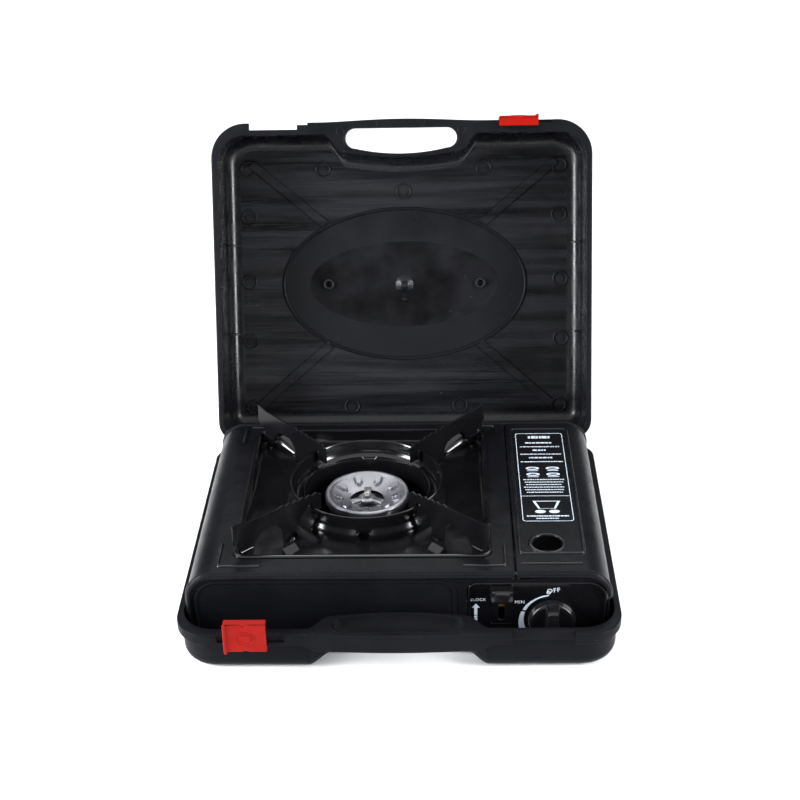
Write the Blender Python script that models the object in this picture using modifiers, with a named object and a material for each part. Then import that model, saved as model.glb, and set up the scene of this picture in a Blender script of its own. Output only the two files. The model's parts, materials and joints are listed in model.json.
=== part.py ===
"""Cartridge stove standing in the lower half of its open carrying case.

Frame: origin at the centre of the case's underside, +X right, +Y towards the case hinge, +Z up.
All sizes are in metres.
"""

import math

import bmesh
import bpy
from mathutils import Matrix, Vector

# ---------------------------------------------------------------- clearances
GAP = 0.0003
RUN = 0.0005
SEAM = 0.0006

# ---------------------------------------------------------------- carrying case
CASE_WIDTH = 0.362
CASE_FRONT = -0.155
CASE_REAR = 0.1515
CASE_WALL = 0.0025
BASE_DEPTH = 0.040
LID_DEPTH = 0.068
RIM_SIDE = 0.003
RIM_FRONT = 0.009
RIM_TALL = 0.009
RIM_EDGE = 0.0008
CORNER_FRONT = 0.033
CORNER_REAR = 0.020
BASE_FILLET = 0.0115
LID_FILLET = 0.016
LID_OPEN = math.radians(110)

GRIP_BOW = 0.0025
GRIP_BAR = 0.0085
GRIP_EXTRA = 0.006
HOLE_HALF = 0.053
HOLE_DEPTH = 0.0240
HOLE_SAG = 0.005
BAY_BLEND = 0.018
BAY_MARGIN = 0.0008

HINGE_OUT = 0.0025
KNUCKLE_R = 0.0038
KNUCKLE_LONG = 0.009
PIN_R = 0.0015
HINGE_X = 0.105

LATCH_WIDE = 0.037
LATCH_PLATE = 0.003
LATCH_LIP = 0.0028
LATCH_REACH = 0.006
BASE_LATCH_X = -0.123
BASE_LATCH_TRAVEL = 0.015
LID_LATCH_X = 0.111
LID_LATCH_LOCK = 0.009
LID_LATCH_BACK = 0.0095
NOTCH_END = 0.003

# ---------------------------------------------------------------- stove body
BODY_LEFT = -0.173
BODY_RIGHT = 0.173
BODY_FRONT = -0.1205
BODY_REAR = 0.1355
BODY_TOP = 0.075
BODY_BEND = 0.022
SHEET = 0.0008
FOOT_TALL = 0.0032
FOOT_R = 0.009
FOOT_INSET = 0.028
PAN_SHEET = 0.001
PAN_RIM = 0.007
PAN_BEND = 0.001
PANEL_SET = 0.002
LIP_FOLD = 0.005
SEAM_X = 0.0949

COVER_PIVOT_IN = 0.0025
COVER_PIVOT_Z = 0.048
ROD_R = 0.0015
BARREL_R = 0.0028
BARREL_LONG = 0.020
FINGER_R = 0.0125
FINGER_X = 0.123
FINGER_Y = -0.0755

# ---------------------------------------------------------------- controls
PANEL_LEFT = 0.056
PANEL_TOP = 0.066
PANEL_ROUND = 0.010
PANEL_ROUND_OUTER = 0.016
KNOB_X = 0.125
KNOB_Z = 0.0285
KNOB_R = 0.020
KNOB_SKIRT = 0.007
KNOB_GRIP = 0.010
KNOB_GRIP_WIDE = 0.009
STEM_R = 0.003
LEVER_X = 0.084
LEVER_TOP = 0.062
LEVER_WIDE = 0.018
LEVER_TALL = 0.015
LEVER_PROUD = 0.011
LEVER_NECK = 0.004
LEVER_TRAVEL = 0.021

# ---------------------------------------------------------------- gas parts and bay
REGULATOR_R = 0.017
REGULATOR_LONG = 0.0255
BULKHEAD_Y = -0.0705
CRADLE_X = 0.1325
CRADLE_WIDE = 0.048
CARTRIDGE_Z = 0.0407
PIPE_R = 0.0025
PIPE_Y = -0.097
JET_LONG = 0.0095
MIXER_R = 0.008
PUSHER_Y = 0.1215
PUSHER_ROD_X = 0.104
PUSHER_ROD_Z = 0.014
PUSHER_ROD_R = 0.002

# ---------------------------------------------------------------- cooking area
BURNER_X = -0.030
BURNER_Y = 0.0127
TRAY_X = 0.208
TRAY_Y = 0.210
TRAY_DROP = 0.0101
TRAY_FLANGE = 0.003
TRAY_ROUND = 0.006
TRAY_HOLE_R = 0.058
TRAY_SIDE_STEPS = 8
RING_R = 0.0662
RING_TOP = 0.0873
RING_SHELF = 0.072
RING_THROAT_R = 0.052
CAP_R = 0.0367
CAP_TOP = 0.073
CAP_HOLE_R = 0.0175
CUP_R = 0.033
CUP_BASE = 0.036
ARM_SHEET = 0.0016
ARM_TOP = 0.101
ARM_TIP = 0.1048
ARM_INNER = 0.053
ARM_OUTER = 0.149
ARM_TEETH = 6

# ---------------------------------------------------------------- derived places
HALF = CASE_WIDTH / 2
WALL_HALF = HALF - RIM_SIDE
WALL_FRONT = CASE_FRONT + RIM_FRONT
WALL_REAR = CASE_REAR - RIM_SIDE
HINGE_Y = CASE_REAR + HINGE_OUT
HINGE_Z = BASE_DEPTH + SEAM / 2
HOLE_FRONT = CASE_FRONT - GRIP_BOW + GRIP_BAR
BAY_DEPTH = HOLE_FRONT + HOLE_DEPTH + BAY_MARGIN - WALL_FRONT
BAY_HALF = HOLE_HALF + CASE_WALL
FRONT_REACH = BAY_HALF + BAY_BLEND + 0.006
FLOOR = CASE_WALL
PAN_Z = FLOOR + GAP + FOOT_TALL + GAP
PAN_TOP = PAN_Z + PAN_SHEET
CASING_INNER_TOP = BODY_TOP - SHEET
FRONT_FACE = BODY_FRONT + PANEL_SET
REAR_FACE = BODY_REAR - PANEL_SET - SHEET
CONTROL_FACE = FRONT_FACE + SHEET + 2 * RUN
COVER_LEFT = SEAM_X + SEAM
COVER_PIVOT_X = BODY_RIGHT - COVER_PIVOT_IN
TRAY_FLOOR = BODY_TOP - TRAY_DROP
TRAY_LEFT = BURNER_X - TRAY_X / 2
TRAY_RIGHT = BURNER_X + TRAY_X / 2
TRAY_FRONT = BURNER_Y - TRAY_Y / 2
TRAY_REAR = BURNER_Y + TRAY_Y / 2
DIVIDER_X = SEAM_X - SHEET - 2 * RUN - SHEET
ARC = 6

FINISHES = {
    "moulded": ((0.022, 0.022, 0.025), 0.42, 0.0),
    "latch_red": ((0.80, 0.045, 0.015), 0.38, 0.0),
    "enamel": ((0.018, 0.018, 0.020), 0.34, 0.2),
    "gloss": ((0.008, 0.008, 0.009), 0.12, 0.0),
    "knob_black": ((0.012, 0.012, 0.013), 0.30, 0.0),
    "zinc": ((0.55, 0.56, 0.57), 0.35, 0.9),
    "cast_aluminium": ((0.62, 0.61, 0.60), 0.38, 0.85),
    "brass": ((0.72, 0.50, 0.20), 0.30, 0.9),
    "ceramic": ((0.85, 0.84, 0.80), 0.35, 0.0),
    "rubber": ((0.03, 0.03, 0.03), 0.75, 0.0),
}


# ---------------------------------------------------------------- scene helpers
def clear_scene():
    for obj in list(bpy.data.objects):
        bpy.data.objects.remove(obj, do_unlink=True)


def new_collection(name, helper=False):
    made = bpy.data.collections.new(name)
    bpy.context.scene.collection.children.link(made)
    made.hide_render = helper
    return made


clear_scene()
PARTS = new_collection("camping_stove")
CUTTERS = new_collection("cutters", helper=True)


def dress(obj, finish):
    """Gives an object a material of its own."""
    colour, roughness, metallic = FINISHES[finish]
    material = bpy.data.materials.new(obj.name)
    material.use_nodes = True
    shader = material.node_tree.nodes["Principled BSDF"]
    shader.inputs["Base Color"].default_value = (*colour, 1.0)
    shader.inputs["Roughness"].default_value = roughness
    shader.inputs["Metallic"].default_value = metallic
    obj.data.materials.clear()
    obj.data.materials.append(material)


def place(name, data, finish):
    """Links new data as a part, or as a hidden helper when it has no finish."""
    obj = bpy.data.objects.new(name, data)
    if finish:
        PARTS.objects.link(obj)
        dress(obj, finish)
    else:
        CUTTERS.objects.link(obj)
        obj.hide_render = True
        obj.display_type = "WIRE"
    return obj


def from_bmesh(name, bm, finish, smooth=None):
    bmesh.ops.recalc_face_normals(bm, faces=bm.faces[:])
    data = bpy.data.meshes.new(name)
    bm.to_mesh(data)
    bm.free()
    obj = place(name, data, finish)
    if smooth:
        data.shade_smooth()
        data.set_sharp_from_angle(angle=math.radians(smooth))
    return obj


def from_curve(obj, finish):
    """Replaces a curve object by a mesh whose caps are welded on."""
    graph = bpy.context.evaluated_depsgraph_get()
    data = bpy.data.meshes.new_from_object(obj.evaluated_get(graph))
    name, matrix = obj.name, obj.matrix_world.copy()
    bpy.data.objects.remove(obj, do_unlink=True)
    bm = bmesh.new()
    bm.from_mesh(data)
    bpy.data.meshes.remove(data)
    bmesh.ops.remove_doubles(bm, verts=bm.verts[:], dist=1e-6)
    made = from_bmesh(name, bm, finish, smooth=35)
    made.matrix_world = matrix
    return made


def modify(target, helper, operation):
    step = target.modifiers.new(helper.name, "BOOLEAN")
    step.operation = operation
    step.object = helper
    step.solver = "EXACT"


def cut(target, *helpers):
    for helper in helpers:
        modify(target, helper, "DIFFERENCE")


def join(target, *helpers):
    for helper in helpers:
        modify(target, helper, "UNION")


# ---------------------------------------------------------------- shape helpers
def box(name, low, high, finish=None, bevel=0.0):
    bm = bmesh.new()
    bmesh.ops.create_cube(bm, size=1.0)
    low, high = Vector(low), Vector(high)
    for vert in bm.verts:
        vert.co = Vector((a + (b - a) * (t + 0.5) for a, b, t in zip(low, high, vert.co)))
    obj = from_bmesh(name, bm, finish)
    if bevel:
        step = obj.modifiers.new("edge", "BEVEL")
        step.width = bevel
        step.segments = 2
    return obj


def rod(name, start, end, radius, finish=None, sides=18, end_radius=None):
    """A round bar, or a cone when its two ends differ."""
    start, end = Vector(start), Vector(end)
    along = end - start
    bm = bmesh.new()
    bmesh.ops.create_cone(
        bm,
        cap_ends=True,
        segments=sides,
        radius1=radius,
        radius2=radius if end_radius is None else end_radius,
        depth=along.length,
    )
    turn = along.to_track_quat("Z", "Y").to_matrix().to_4x4()
    bmesh.ops.transform(bm, matrix=Matrix.Translation((start + end) / 2) @ turn, verts=bm.verts[:])
    return from_bmesh(name, bm, finish, smooth=35)


def turned(name, profile, centre, finish=None, steps=36, axis="Z"):
    """A turned piece: its (radius, height) profile runs from top to bottom on the outer side."""
    bm = bmesh.new()
    verts = [bm.verts.new((r, 0.0, z)) for r, z in profile]
    on_axis = profile[0][0] == 0.0 and profile[-1][0] == 0.0
    for a, b in zip(verts, verts[1:] + ([] if on_axis else verts[:1])):
        bm.edges.new((a, b))
    data = bpy.data.meshes.new(name)
    bm.to_mesh(data)
    bm.free()
    obj = place(name, data, finish)
    screw = obj.modifiers.new("turn", "SCREW")
    screw.steps = steps
    screw.render_steps = steps
    screw.use_merge_vertices = True
    screw.merge_threshold = 1e-6
    obj.location = centre
    if axis == "-Y":
        obj.rotation_euler = (math.radians(90), 0, 0)
    return obj


def plate(name, outline, low, high, finish=None, plane="XY", holes=()):
    """A flat outline, with holes, made thick from low to high along the plane's normal."""
    curve = bpy.data.curves.new(name, "CURVE")
    curve.dimensions = "2D"
    curve.fill_mode = "BOTH"
    curve.extrude = (high - low) / 2
    for loop in (outline, *holes):
        spline = curve.splines.new("POLY")
        spline.points.add(len(loop) - 1)
        spline.use_cyclic_u = True
        for point, (u, v) in zip(spline.points, loop):
            point.co = (u, v, 0.0, 1.0)
    obj = bpy.data.objects.new(name, curve)
    CUTTERS.objects.link(obj)
    middle = (low + high) / 2
    swap = Matrix(((0, 0, 1, 0), (1, 0, 0, 0), (0, 1, 0, 0), (0, 0, 0, 1)))
    turns = {
        "XY": Matrix.Translation((0, 0, middle)),
        "XZ": Matrix.Translation((0, middle, 0)) @ Matrix.Rotation(math.radians(90), 4, "X"),
        "YZ": Matrix.Translation((middle, 0, 0)) @ swap,
    }
    obj.matrix_world = turns[plane]
    bpy.context.view_layer.update()
    return from_curve(obj, finish)


def tube(name, points, radius, finish):
    """A bent pipe or wire through the given points, on one smooth curve."""
    curve = bpy.data.curves.new(name, "CURVE")
    curve.dimensions = "3D"
    curve.bevel_depth = radius
    curve.bevel_resolution = 2
    curve.use_fill_caps = True
    spline = curve.splines.new("POLY")
    route = smooth_route(points, 4)
    spline.points.add(len(route) - 1)
    for point, co in zip(spline.points, route):
        point.co = (*co, 1.0)
    obj = bpy.data.objects.new(name, curve)
    CUTTERS.objects.link(obj)
    bpy.context.view_layer.update()
    return from_curve(obj, finish)


def smooth_route(points, steps):
    """Points of a Catmull-Rom curve through the given ones."""
    knots = [Vector(p) for p in points]
    knots = [2 * knots[0] - knots[1], *knots, 2 * knots[-1] - knots[-2]]
    route = []
    for a, b, c, d in zip(knots, knots[1:], knots[2:], knots[3:]):
        for i in range(steps):
            t = i / steps
            square, cube = 2 * a - 5 * b + 4 * c - d, 3 * b - a - 3 * c + d
            route.append((2 * b + (c - a) * t + square * t**2 + cube * t**3) / 2)
    return [*route, knots[-2]]


def arc(cx, cy, radius, start, end, steps=ARC):
    """Points of an arc in degrees, both ends included."""
    angles = [math.radians(start + (end - start) * i / steps) for i in range(steps + 1)]
    return [(cx + radius * math.cos(a), cy + radius * math.sin(a)) for a in angles]


def circle(cx, cy, radius, sides=32):
    return arc(cx, cy, radius, 0, 360 - 360 / sides, sides - 1)


def rounded(x0, x1, y0, y1, radius, outer=None):
    """A rectangle with round corners, counterclockwise from the lower left; outer is its upper right radius."""
    far = radius if outer is None else outer
    return [
        *arc(x0 + radius, y0 + radius, radius, 180, 270),
        *arc(x1 - radius, y0 + radius, radius, 270, 360),
        *arc(x1 - far, y1 - far, far, 0, 90),
        *arc(x0 + radius, y1 - radius, radius, 90, 180),
    ]


def subdivided(loop, count):
    """The closed loop with each of its straight sides divided evenly, and its arcs left as they are."""
    made = []
    for i, (a, b) in enumerate(zip(loop, loop[1:] + loop[:1])):
        pieces = count if i % (ARC + 1) == ARC else 1
        dx, dy = (b[0] - a[0]) / pieces, (b[1] - a[1]) / pieces
        made += [(a[0] + dx * k, a[1] + dy * k) for k in range(pieces)]
    return made


def strip(path, thickness):
    """The closed outline of a bent sheet: its outer side is the path, and its inner side lies to the right."""
    inner = []
    for i, (x, y) in enumerate(path):
        sides = []
        if i:
            sides.append(Vector(path[i]) - Vector(path[i - 1]))
        if i < len(path) - 1:
            sides.append(Vector(path[i + 1]) - Vector(path[i]))
        normals = [Vector((d.y, -d.x)).normalized() for d in sides]
        mean = sum(normals, Vector((0, 0))).normalized()
        inner.append(Vector((x, y)) + mean * thickness / mean.dot(normals[0]))
    return [*path, *((p.x, p.y) for p in reversed(inner))]


def loft(name, rings, finish=None, closed=False, smooth=40):
    """A skin through rings of points, capped at both ends unless the rings close on themselves."""
    bm = bmesh.new()
    rows = [[bm.verts.new(p) for p in ring] for ring in rings]
    pairs = list(zip(rows, rows[1:]))
    if closed:
        pairs.append((rows[-1], rows[0]))
    for lower, upper in pairs:
        for i, vert in enumerate(lower):
            after = (i + 1) % len(lower)
            bm.faces.new((vert, lower[after], upper[after], upper[i]))
    if not closed:
        bm.faces.new(rows[0])
        bm.faces.new(rows[-1])
    return from_bmesh(name, bm, finish, smooth)


def smoothstep(t):
    t = min(max(t, 0.0), 1.0)
    return t * t * (3 - 2 * t)


# ---------------------------------------------------------------- carrying case
def bay(x):
    """How far the case wall stands back behind the handle hole at x."""
    swell = HOLE_SAG * min(abs(x) / BAY_HALF, 1.0) ** 2
    return (BAY_DEPTH - swell) * smoothstep((BAY_HALF + BAY_BLEND - abs(x)) / BAY_BLEND)


def bow(x):
    """How far the grip stands proud of the straight front edge at x."""
    return GRIP_BOW * (1 - min(abs(x) / FRONT_REACH, 1.0) ** 2) ** 2


def grip_drop(x):
    """How much taller the rim is along the grip."""
    return GRIP_EXTRA * smoothstep((FRONT_REACH - abs(x)) / BAY_BLEND)


def case_ring(inset, z, on_wall, dropped=False):
    """One ring of the case: the wall's outline, with its bay, or the rim's, with the bow of the grip."""
    half = (WALL_HALF if on_wall else HALF) - inset
    front = (WALL_FRONT if on_wall else CASE_FRONT) + inset
    rear = (WALL_REAR if on_wall else CASE_REAR) - inset
    shrink = inset + (RIM_SIDE if on_wall else 0.0)
    near, far = CORNER_FRONT - shrink, CORNER_REAR - shrink
    count = 27
    xs = [FRONT_REACH * (2 * i / (count - 1) - 1) for i in range(count)]
    front_side = [(x, front + (bay(x) if on_wall else -bow(x))) for x in xs]
    outline = [
        *arc(-half + near, front + near, near, 180, 270),
        *front_side,
        *arc(half - near, front + near, near, 270, 360),
        *arc(half - far, rear - far, far, 0, 90),
        *arc(-half + far, rear - far, far, 90, 180),
    ]
    return [(x, y, z - (grip_drop(x) if dropped and y < 0 else 0.0)) for x, y in outline]


def case_rings(depth, fillet):
    """The whole section of a case half, from the middle of its outside round the rim to its inside."""
    turns = [math.radians(90 * i / 4) for i in range(5)]
    bend = fillet - CASE_WALL
    curl = [(1 - math.sin(a), 1 - math.cos(a)) for a in turns]
    outside = [case_ring(fillet * s, fillet * c, True) for s, c in curl]
    rim = [
        case_ring(0.0, depth - RIM_TALL, True, dropped=True),
        case_ring(0.0, depth - RIM_TALL, False, dropped=True),
        case_ring(0.0, depth - RIM_EDGE, False),
        case_ring(RIM_EDGE, depth, False),
        case_ring(CASE_WALL, depth, True),
    ]
    inside = [case_ring(CASE_WALL + bend * c, CASE_WALL + bend * s, True) for s, c in curl]
    return [*outside, *rim, *inside]


def handle_hole(name, low, high):
    """The hole behind the grip: straight in front, bowed behind, with round ends."""
    rear = HOLE_FRONT + HOLE_DEPTH
    end_r = (HOLE_DEPTH - HOLE_SAG) / 2
    straight = HOLE_HALF - end_r
    steps = 12
    bowed = []
    for i in range(steps + 1):
        x = straight * (1 - 2 * i / steps)
        bowed.append((x, rear - HOLE_SAG * (x / straight) ** 2))
    outline = [
        *arc(-straight, HOLE_FRONT + end_r, end_r, 90, 270)[1:],
        *arc(straight, HOLE_FRONT + end_r, end_r, -90, 90)[:-1],
        *bowed,
    ]
    return plate(name, outline, low, high)


def knuckles(owner, offsets, other_offsets):
    """Hinge barrels joined to one case half, and the notches that clear the other half's barrels."""
    bores = []
    for side in (-1, 1):
        for i, offset in enumerate(offsets):
            mid = side * HINGE_X + offset
            reach = KNUCKLE_LONG / 2
            ends = ((mid - reach, HINGE_Y, HINGE_Z), (mid + reach, HINGE_Y, HINGE_Z))
            join(owner, rod(f"{owner.name}_barrel_{side}_{i}", *ends, KNUCKLE_R, sides=16))
        for i, offset in enumerate(other_offsets):
            reach = KNUCKLE_LONG / 2 + RUN
            mid = side * HINGE_X + offset
            ends = ((mid - reach, HINGE_Y, HINGE_Z), (mid + reach, HINGE_Y, HINGE_Z))
            cut(owner, rod(f"{owner.name}_clear_{side}_{i}", *ends, KNUCKLE_R + RUN, sides=16))
        far = 3 * KNUCKLE_LONG
        ends = ((side * HINGE_X - far, HINGE_Y, HINGE_Z), (side * HINGE_X + far, HINGE_Y, HINGE_Z))
        bores.append(rod(f"{owner.name}_bore_{side}", *ends, PIN_R + GAP, sides=12))
    cut(owner, *bores)


SIDE_OFFSETS = (-(KNUCKLE_LONG + 2 * GAP + RUN), KNUCKLE_LONG + 2 * GAP + RUN)
SHELF = LATCH_REACH + RUN


def case_base():
    base = loft("case_base", case_rings(BASE_DEPTH, BASE_FILLET), "moulded")
    hole_low = BASE_DEPTH - RIM_TALL - 2 * GRIP_EXTRA
    cut(base, handle_hole("base_handle_hole", hole_low, BASE_DEPTH + GRIP_EXTRA))
    low = BASE_DEPTH - RIM_TALL - GAP
    left = LID_LATCH_X - LATCH_WIDE / 2 - RUN - GAP
    right = LID_LATCH_X + LATCH_WIDE / 2 + LID_LATCH_BACK + NOTCH_END
    near, far = CASE_FRONT - GRIP_BOW, CASE_FRONT + SHELF
    cut(base, box("base_notch", (left, near, low), (right, far, BASE_DEPTH + RIM_TALL)))
    knuckles(base, SIDE_OFFSETS, (0.0,))
    return base


def case_lid():
    """The lid, modelled closed on the base: its parent empty opens it."""
    top = BASE_DEPTH + SEAM + LID_DEPTH
    rings = [[(-x, y, top - z) for x, y, z in ring] for ring in case_rings(LID_DEPTH, LID_FILLET)]
    lid = loft("case_lid", rings, "moulded")
    low = BASE_DEPTH + SEAM
    cut(lid, handle_hole("lid_handle_hole", low - GRIP_EXTRA, low + RIM_TALL + 2 * GRIP_EXTRA))
    left = BASE_LATCH_X - LATCH_WIDE / 2 - NOTCH_END
    right = BASE_LATCH_X + LATCH_WIDE / 2 + RUN + NOTCH_END
    near, far = CASE_FRONT - GRIP_BOW, CASE_FRONT + SHELF
    cut(lid, box("lid_notch", (left, near, 0.0), (right, far, low + RIM_TALL + GAP)))
    knuckles(lid, (0.0,), SIDE_OFFSETS)
    return lid


def latch(name, middle, own_lip_low, own_lip_high):
    """A C-shaped slide that grips both rims: its section in the YZ plane, carried along X."""
    front = CASE_FRONT - GAP - LATCH_PLATE
    back = CASE_FRONT - GAP
    reach = CASE_FRONT + LATCH_REACH
    section = [
        (front, own_lip_low - LATCH_LIP),
        (reach, own_lip_low - LATCH_LIP),
        (reach, own_lip_low),
        (back, own_lip_low),
        (back, own_lip_high),
        (reach, own_lip_high),
        (reach, own_lip_high + LATCH_LIP),
        (front, own_lip_high + LATCH_LIP),
    ]
    left, right = middle - LATCH_WIDE / 2, middle + LATCH_WIDE / 2
    slide = plate(name, section, left, right, "latch_red", plane="YZ")
    centre = (own_lip_low + own_lip_high) / 2
    dish = turned(
        f"{name}_dish",
        [(0.0, 0.003), (0.007, 0.003), (0.0062, -0.0008), (0.0, -0.0012)],
        (middle, front, centre),
        axis="-Y",
        steps=24,
    )
    cut(slide, dish)
    return slide


def case_pieces():
    lid_pose = bpy.data.objects.new("lid_pose", None)
    lid_pose.location = (0.0, HINGE_Y, HINGE_Z)
    lid_pose.rotation_euler = (-LID_OPEN, 0.0, 0.0)
    PARTS.objects.link(lid_pose)
    case_base()
    low = BASE_DEPTH - RIM_TALL - RUN
    high = BASE_DEPTH + SEAM + RIM_TALL + RUN
    latch("base_latch", BASE_LATCH_X, low, high)
    for obj in (case_lid(), latch("lid_latch", LID_LATCH_X, low, high)):
        obj.parent = lid_pose
        obj.location += Vector((0.0, -HINGE_Y, -HINGE_Z))
        for step in obj.modifiers:
            step.object.parent = lid_pose
            step.object.location += Vector((0.0, -HINGE_Y, -HINGE_Z))
    for side, name in ((-1, "hinge_pin_left"), (1, "hinge_pin_right")):
        half = 1.5 * KNUCKLE_LONG + RUN
        ends = ((side * HINGE_X - half, HINGE_Y, HINGE_Z), (side * HINGE_X + half, HINGE_Y, HINGE_Z))
        rod(name, *ends, PIN_R, "zinc", sides=12)


# ---------------------------------------------------------------- stove body
def casing():
    """Left side and top in one bent sheet, with the opening for the drip tray."""
    path = [
        (BODY_LEFT, PAN_Z + GAP),
        *arc(BODY_LEFT + BODY_BEND, BODY_TOP - BODY_BEND, BODY_BEND, 180, 90, 8),
        (SEAM_X, BODY_TOP),
        (SEAM_X, BODY_TOP - LIP_FOLD),
    ]
    shell = plate("main_casing", strip(path, SHEET), BODY_FRONT, BODY_REAR, "enamel", plane="XZ")
    opening = rounded(TRAY_LEFT, TRAY_RIGHT, TRAY_FRONT, TRAY_REAR, TRAY_ROUND)
    cut(shell, plate("tray_opening", opening, BODY_TOP - LIP_FOLD, BODY_TOP + LIP_FOLD))


def end_outline():
    """The outline of the front and rear sheets, inside the casing and the cover."""
    left = BODY_LEFT + SHEET + GAP
    right = BODY_RIGHT - SHEET - SHEET - 2 * RUN - GAP
    top = CASING_INNER_TOP - GAP
    bend = BODY_BEND - SHEET - GAP
    drop = COVER_PIVOT_Z - BARREL_R - RUN
    return [
        (left, PAN_Z + GAP),
        (right, PAN_Z + GAP),
        (right, drop),
        *arc(BODY_RIGHT - BODY_BEND, BODY_TOP - BODY_BEND, bend - SHEET, 0, 90),
        (DIVIDER_X + SHEET + 2 * RUN + SHEET + SEAM, CASING_INNER_TOP - 2 * RUN - LIP_FOLD),
        (DIVIDER_X - RUN, CASING_INNER_TOP - 2 * RUN - LIP_FOLD),
        (DIVIDER_X - RUN, top),
        *arc(left + bend, top - bend, bend, 90, 180),
    ]


VENTS, VENT_FIRST, VENT_PITCH, VENT_WIDE = 5, -0.130, 0.036, 0.024
VENT_Z = (0.050, 0.055)
SCREW_EDGE = BODY_LEFT + 0.012
SCREWS = ((SCREW_EDGE, 0.018), (0.080, 0.018), (SCREW_EDGE, 0.050), (0.158, 0.018))
SCREW_R, SCREW_TALL = 0.003, 0.0016


def end_panels():
    opening = rounded(
        PANEL_LEFT,
        BODY_RIGHT - 4 * SHEET,
        PAN_TOP + 2 * RUN,
        PANEL_TOP,
        PANEL_ROUND / 2,
        outer=PANEL_ROUND_OUTER,
    )
    outline = end_outline()
    plate("front_panel", outline, FRONT_FACE, FRONT_FACE + SHEET, "enamel", plane="XZ", holes=[opening])
    slots = []
    low, high = VENT_Z
    for i in range(VENTS):
        x = VENT_FIRST + VENT_PITCH * i
        slots.append([(x, low), (x + VENT_WIDE, low), (x + VENT_WIDE, high), (x, high)])
    plate("rear_panel", outline, REAR_FACE, REAR_FACE + SHEET, "enamel", plane="XZ", holes=slots)
    face = REAR_FACE + SHEET + GAP
    for i, (x, z) in enumerate(SCREWS):
        ends = (x, face, z), (x, face + SCREW_TALL, z)
        rod(f"rear_screw_{i + 1}", *ends, SCREW_R, "zinc", sides=16, end_radius=SCREW_R - 0.0008)


PAN_ROUND = 0.006


def bottom_pieces():
    low_x, high_x = BODY_LEFT + SHEET + GAP, BODY_RIGHT - 2 * SHEET - 3 * GAP
    low_y, high_y = FRONT_FACE + SHEET + 5 * RUN, REAR_FACE - 2 * RUN

    def pan_ring(inset, z, radius):
        loop = rounded(low_x + inset, high_x - inset, low_y + inset, high_y - inset, radius)
        return [(x, y, z) for x, y in loop]

    rim = PAN_TOP + PAN_RIM
    outside = ((PAN_BEND, PAN_Z), (0.0, PAN_Z + PAN_BEND), (0.0, rim))
    inside = ((PAN_SHEET, rim), (PAN_SHEET, PAN_TOP + PAN_BEND), (PAN_SHEET + PAN_BEND, PAN_TOP))
    rings = [pan_ring(inset, z, PAN_ROUND) for inset, z in outside]
    rings += [pan_ring(inset, z, PAN_ROUND - PAN_SHEET) for inset, z in inside]
    loft("bottom_pan", rings, "enamel")
    corners = [(x, y) for y in (BODY_FRONT + FOOT_INSET, BODY_REAR - FOOT_INSET) for x in (-1, 1)]
    for (side, y), name in zip(corners, ("front_left", "front_right", "rear_left", "rear_right")):
        x = side * (BODY_RIGHT - FOOT_INSET)
        low = FLOOR + GAP
        ends = (x, y, low), (x, y, low + FOOT_TALL)
        rod(f"foot_{name}", *ends, FOOT_R * 0.85, "rubber", end_radius=FOOT_R)


SILL_BARRELS = (-0.060, 0.080)
COVER_BARRELS = (-0.100, 0.110)


def right_side():
    """The low sill on the right, the hinge rod on it and the cover that swings on the rod."""
    outer = BODY_RIGHT - SHEET - GAP
    sill_top = COVER_PIVOT_Z - BARREL_R - RUN
    sill = box(
        "right_sill",
        (outer - SHEET, FRONT_FACE + SHEET + RUN, PAN_Z),
        (outer, REAR_FACE - RUN, sill_top),
        "enamel",
    )
    low_y, high_y = FRONT_FACE + SHEET + 2 * RUN, REAR_FACE - 2 * RUN
    pivot = (COVER_PIVOT_X, COVER_PIVOT_Z)
    beyond = 20 * RUN
    ends = (pivot[0], low_y - beyond, pivot[1]), (pivot[0], high_y + beyond, pivot[1])
    hole = rod("rod_bore", *ends, ROD_R + GAP)
    for i, y in enumerate(SILL_BARRELS):
        barrel = (pivot[0], y, pivot[1]), (pivot[0], y + BARREL_LONG, pivot[1])
        tab_low = (outer - SHEET, y, sill_top - RUN)
        join(sill, box(f"sill_tab_{i}", tab_low, (outer, y + BARREL_LONG, pivot[1])))
        join(sill, rod(f"sill_barrel_{i}", *barrel, BARREL_R))
    cut(sill, hole)
    ends = (pivot[0], low_y + 3 * RUN, pivot[1]), (pivot[0], high_y - RUN, pivot[1])
    rod("cover_rod", *ends, ROD_R, "zinc", sides=16)
    cartridge_cover(hole)


def cartridge_cover(hole):
    foot = COVER_PIVOT_Z + BARREL_R + RUN
    path = [
        (COVER_LEFT, BODY_TOP - LIP_FOLD),
        (COVER_LEFT, BODY_TOP),
        *arc(BODY_RIGHT - BODY_BEND, BODY_TOP - BODY_BEND, BODY_BEND, 90, 0, 8),
        (BODY_RIGHT, foot),
    ]
    cover = plate("cartridge_cover", strip(path, SHEET), BODY_FRONT, BODY_REAR, "enamel", plane="XZ")
    for i, y in enumerate(COVER_BARRELS):
        barrel = (COVER_PIVOT_X, y, COVER_PIVOT_Z), (COVER_PIVOT_X, y + BARREL_LONG, COVER_PIVOT_Z)
        tab_low = (BODY_RIGHT - SHEET, y, COVER_PIVOT_Z)
        join(cover, box(f"cover_tab_{i}", tab_low, (BODY_RIGHT, y + BARREL_LONG, foot + RUN)))
        join(cover, rod(f"cover_barrel_{i}", *barrel, BARREL_R))
    finger = (FINGER_X, FINGER_Y, BODY_TOP - LIP_FOLD), (FINGER_X, FINGER_Y, BODY_TOP + LIP_FOLD)
    cut(cover, hole, rod("finger_hole", *finger, FINGER_R))


BULKHEAD_OVER, BULKHEAD_STEP, MOUTH_HOLE_R = 0.016, 0.006, 0.009
WIRE_Y, WIRE_R, WIRE_HOLE_R = -0.090, 0.0012, 0.0025
SPARK_X, SPARK_Z = 0.157, 0.050


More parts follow.
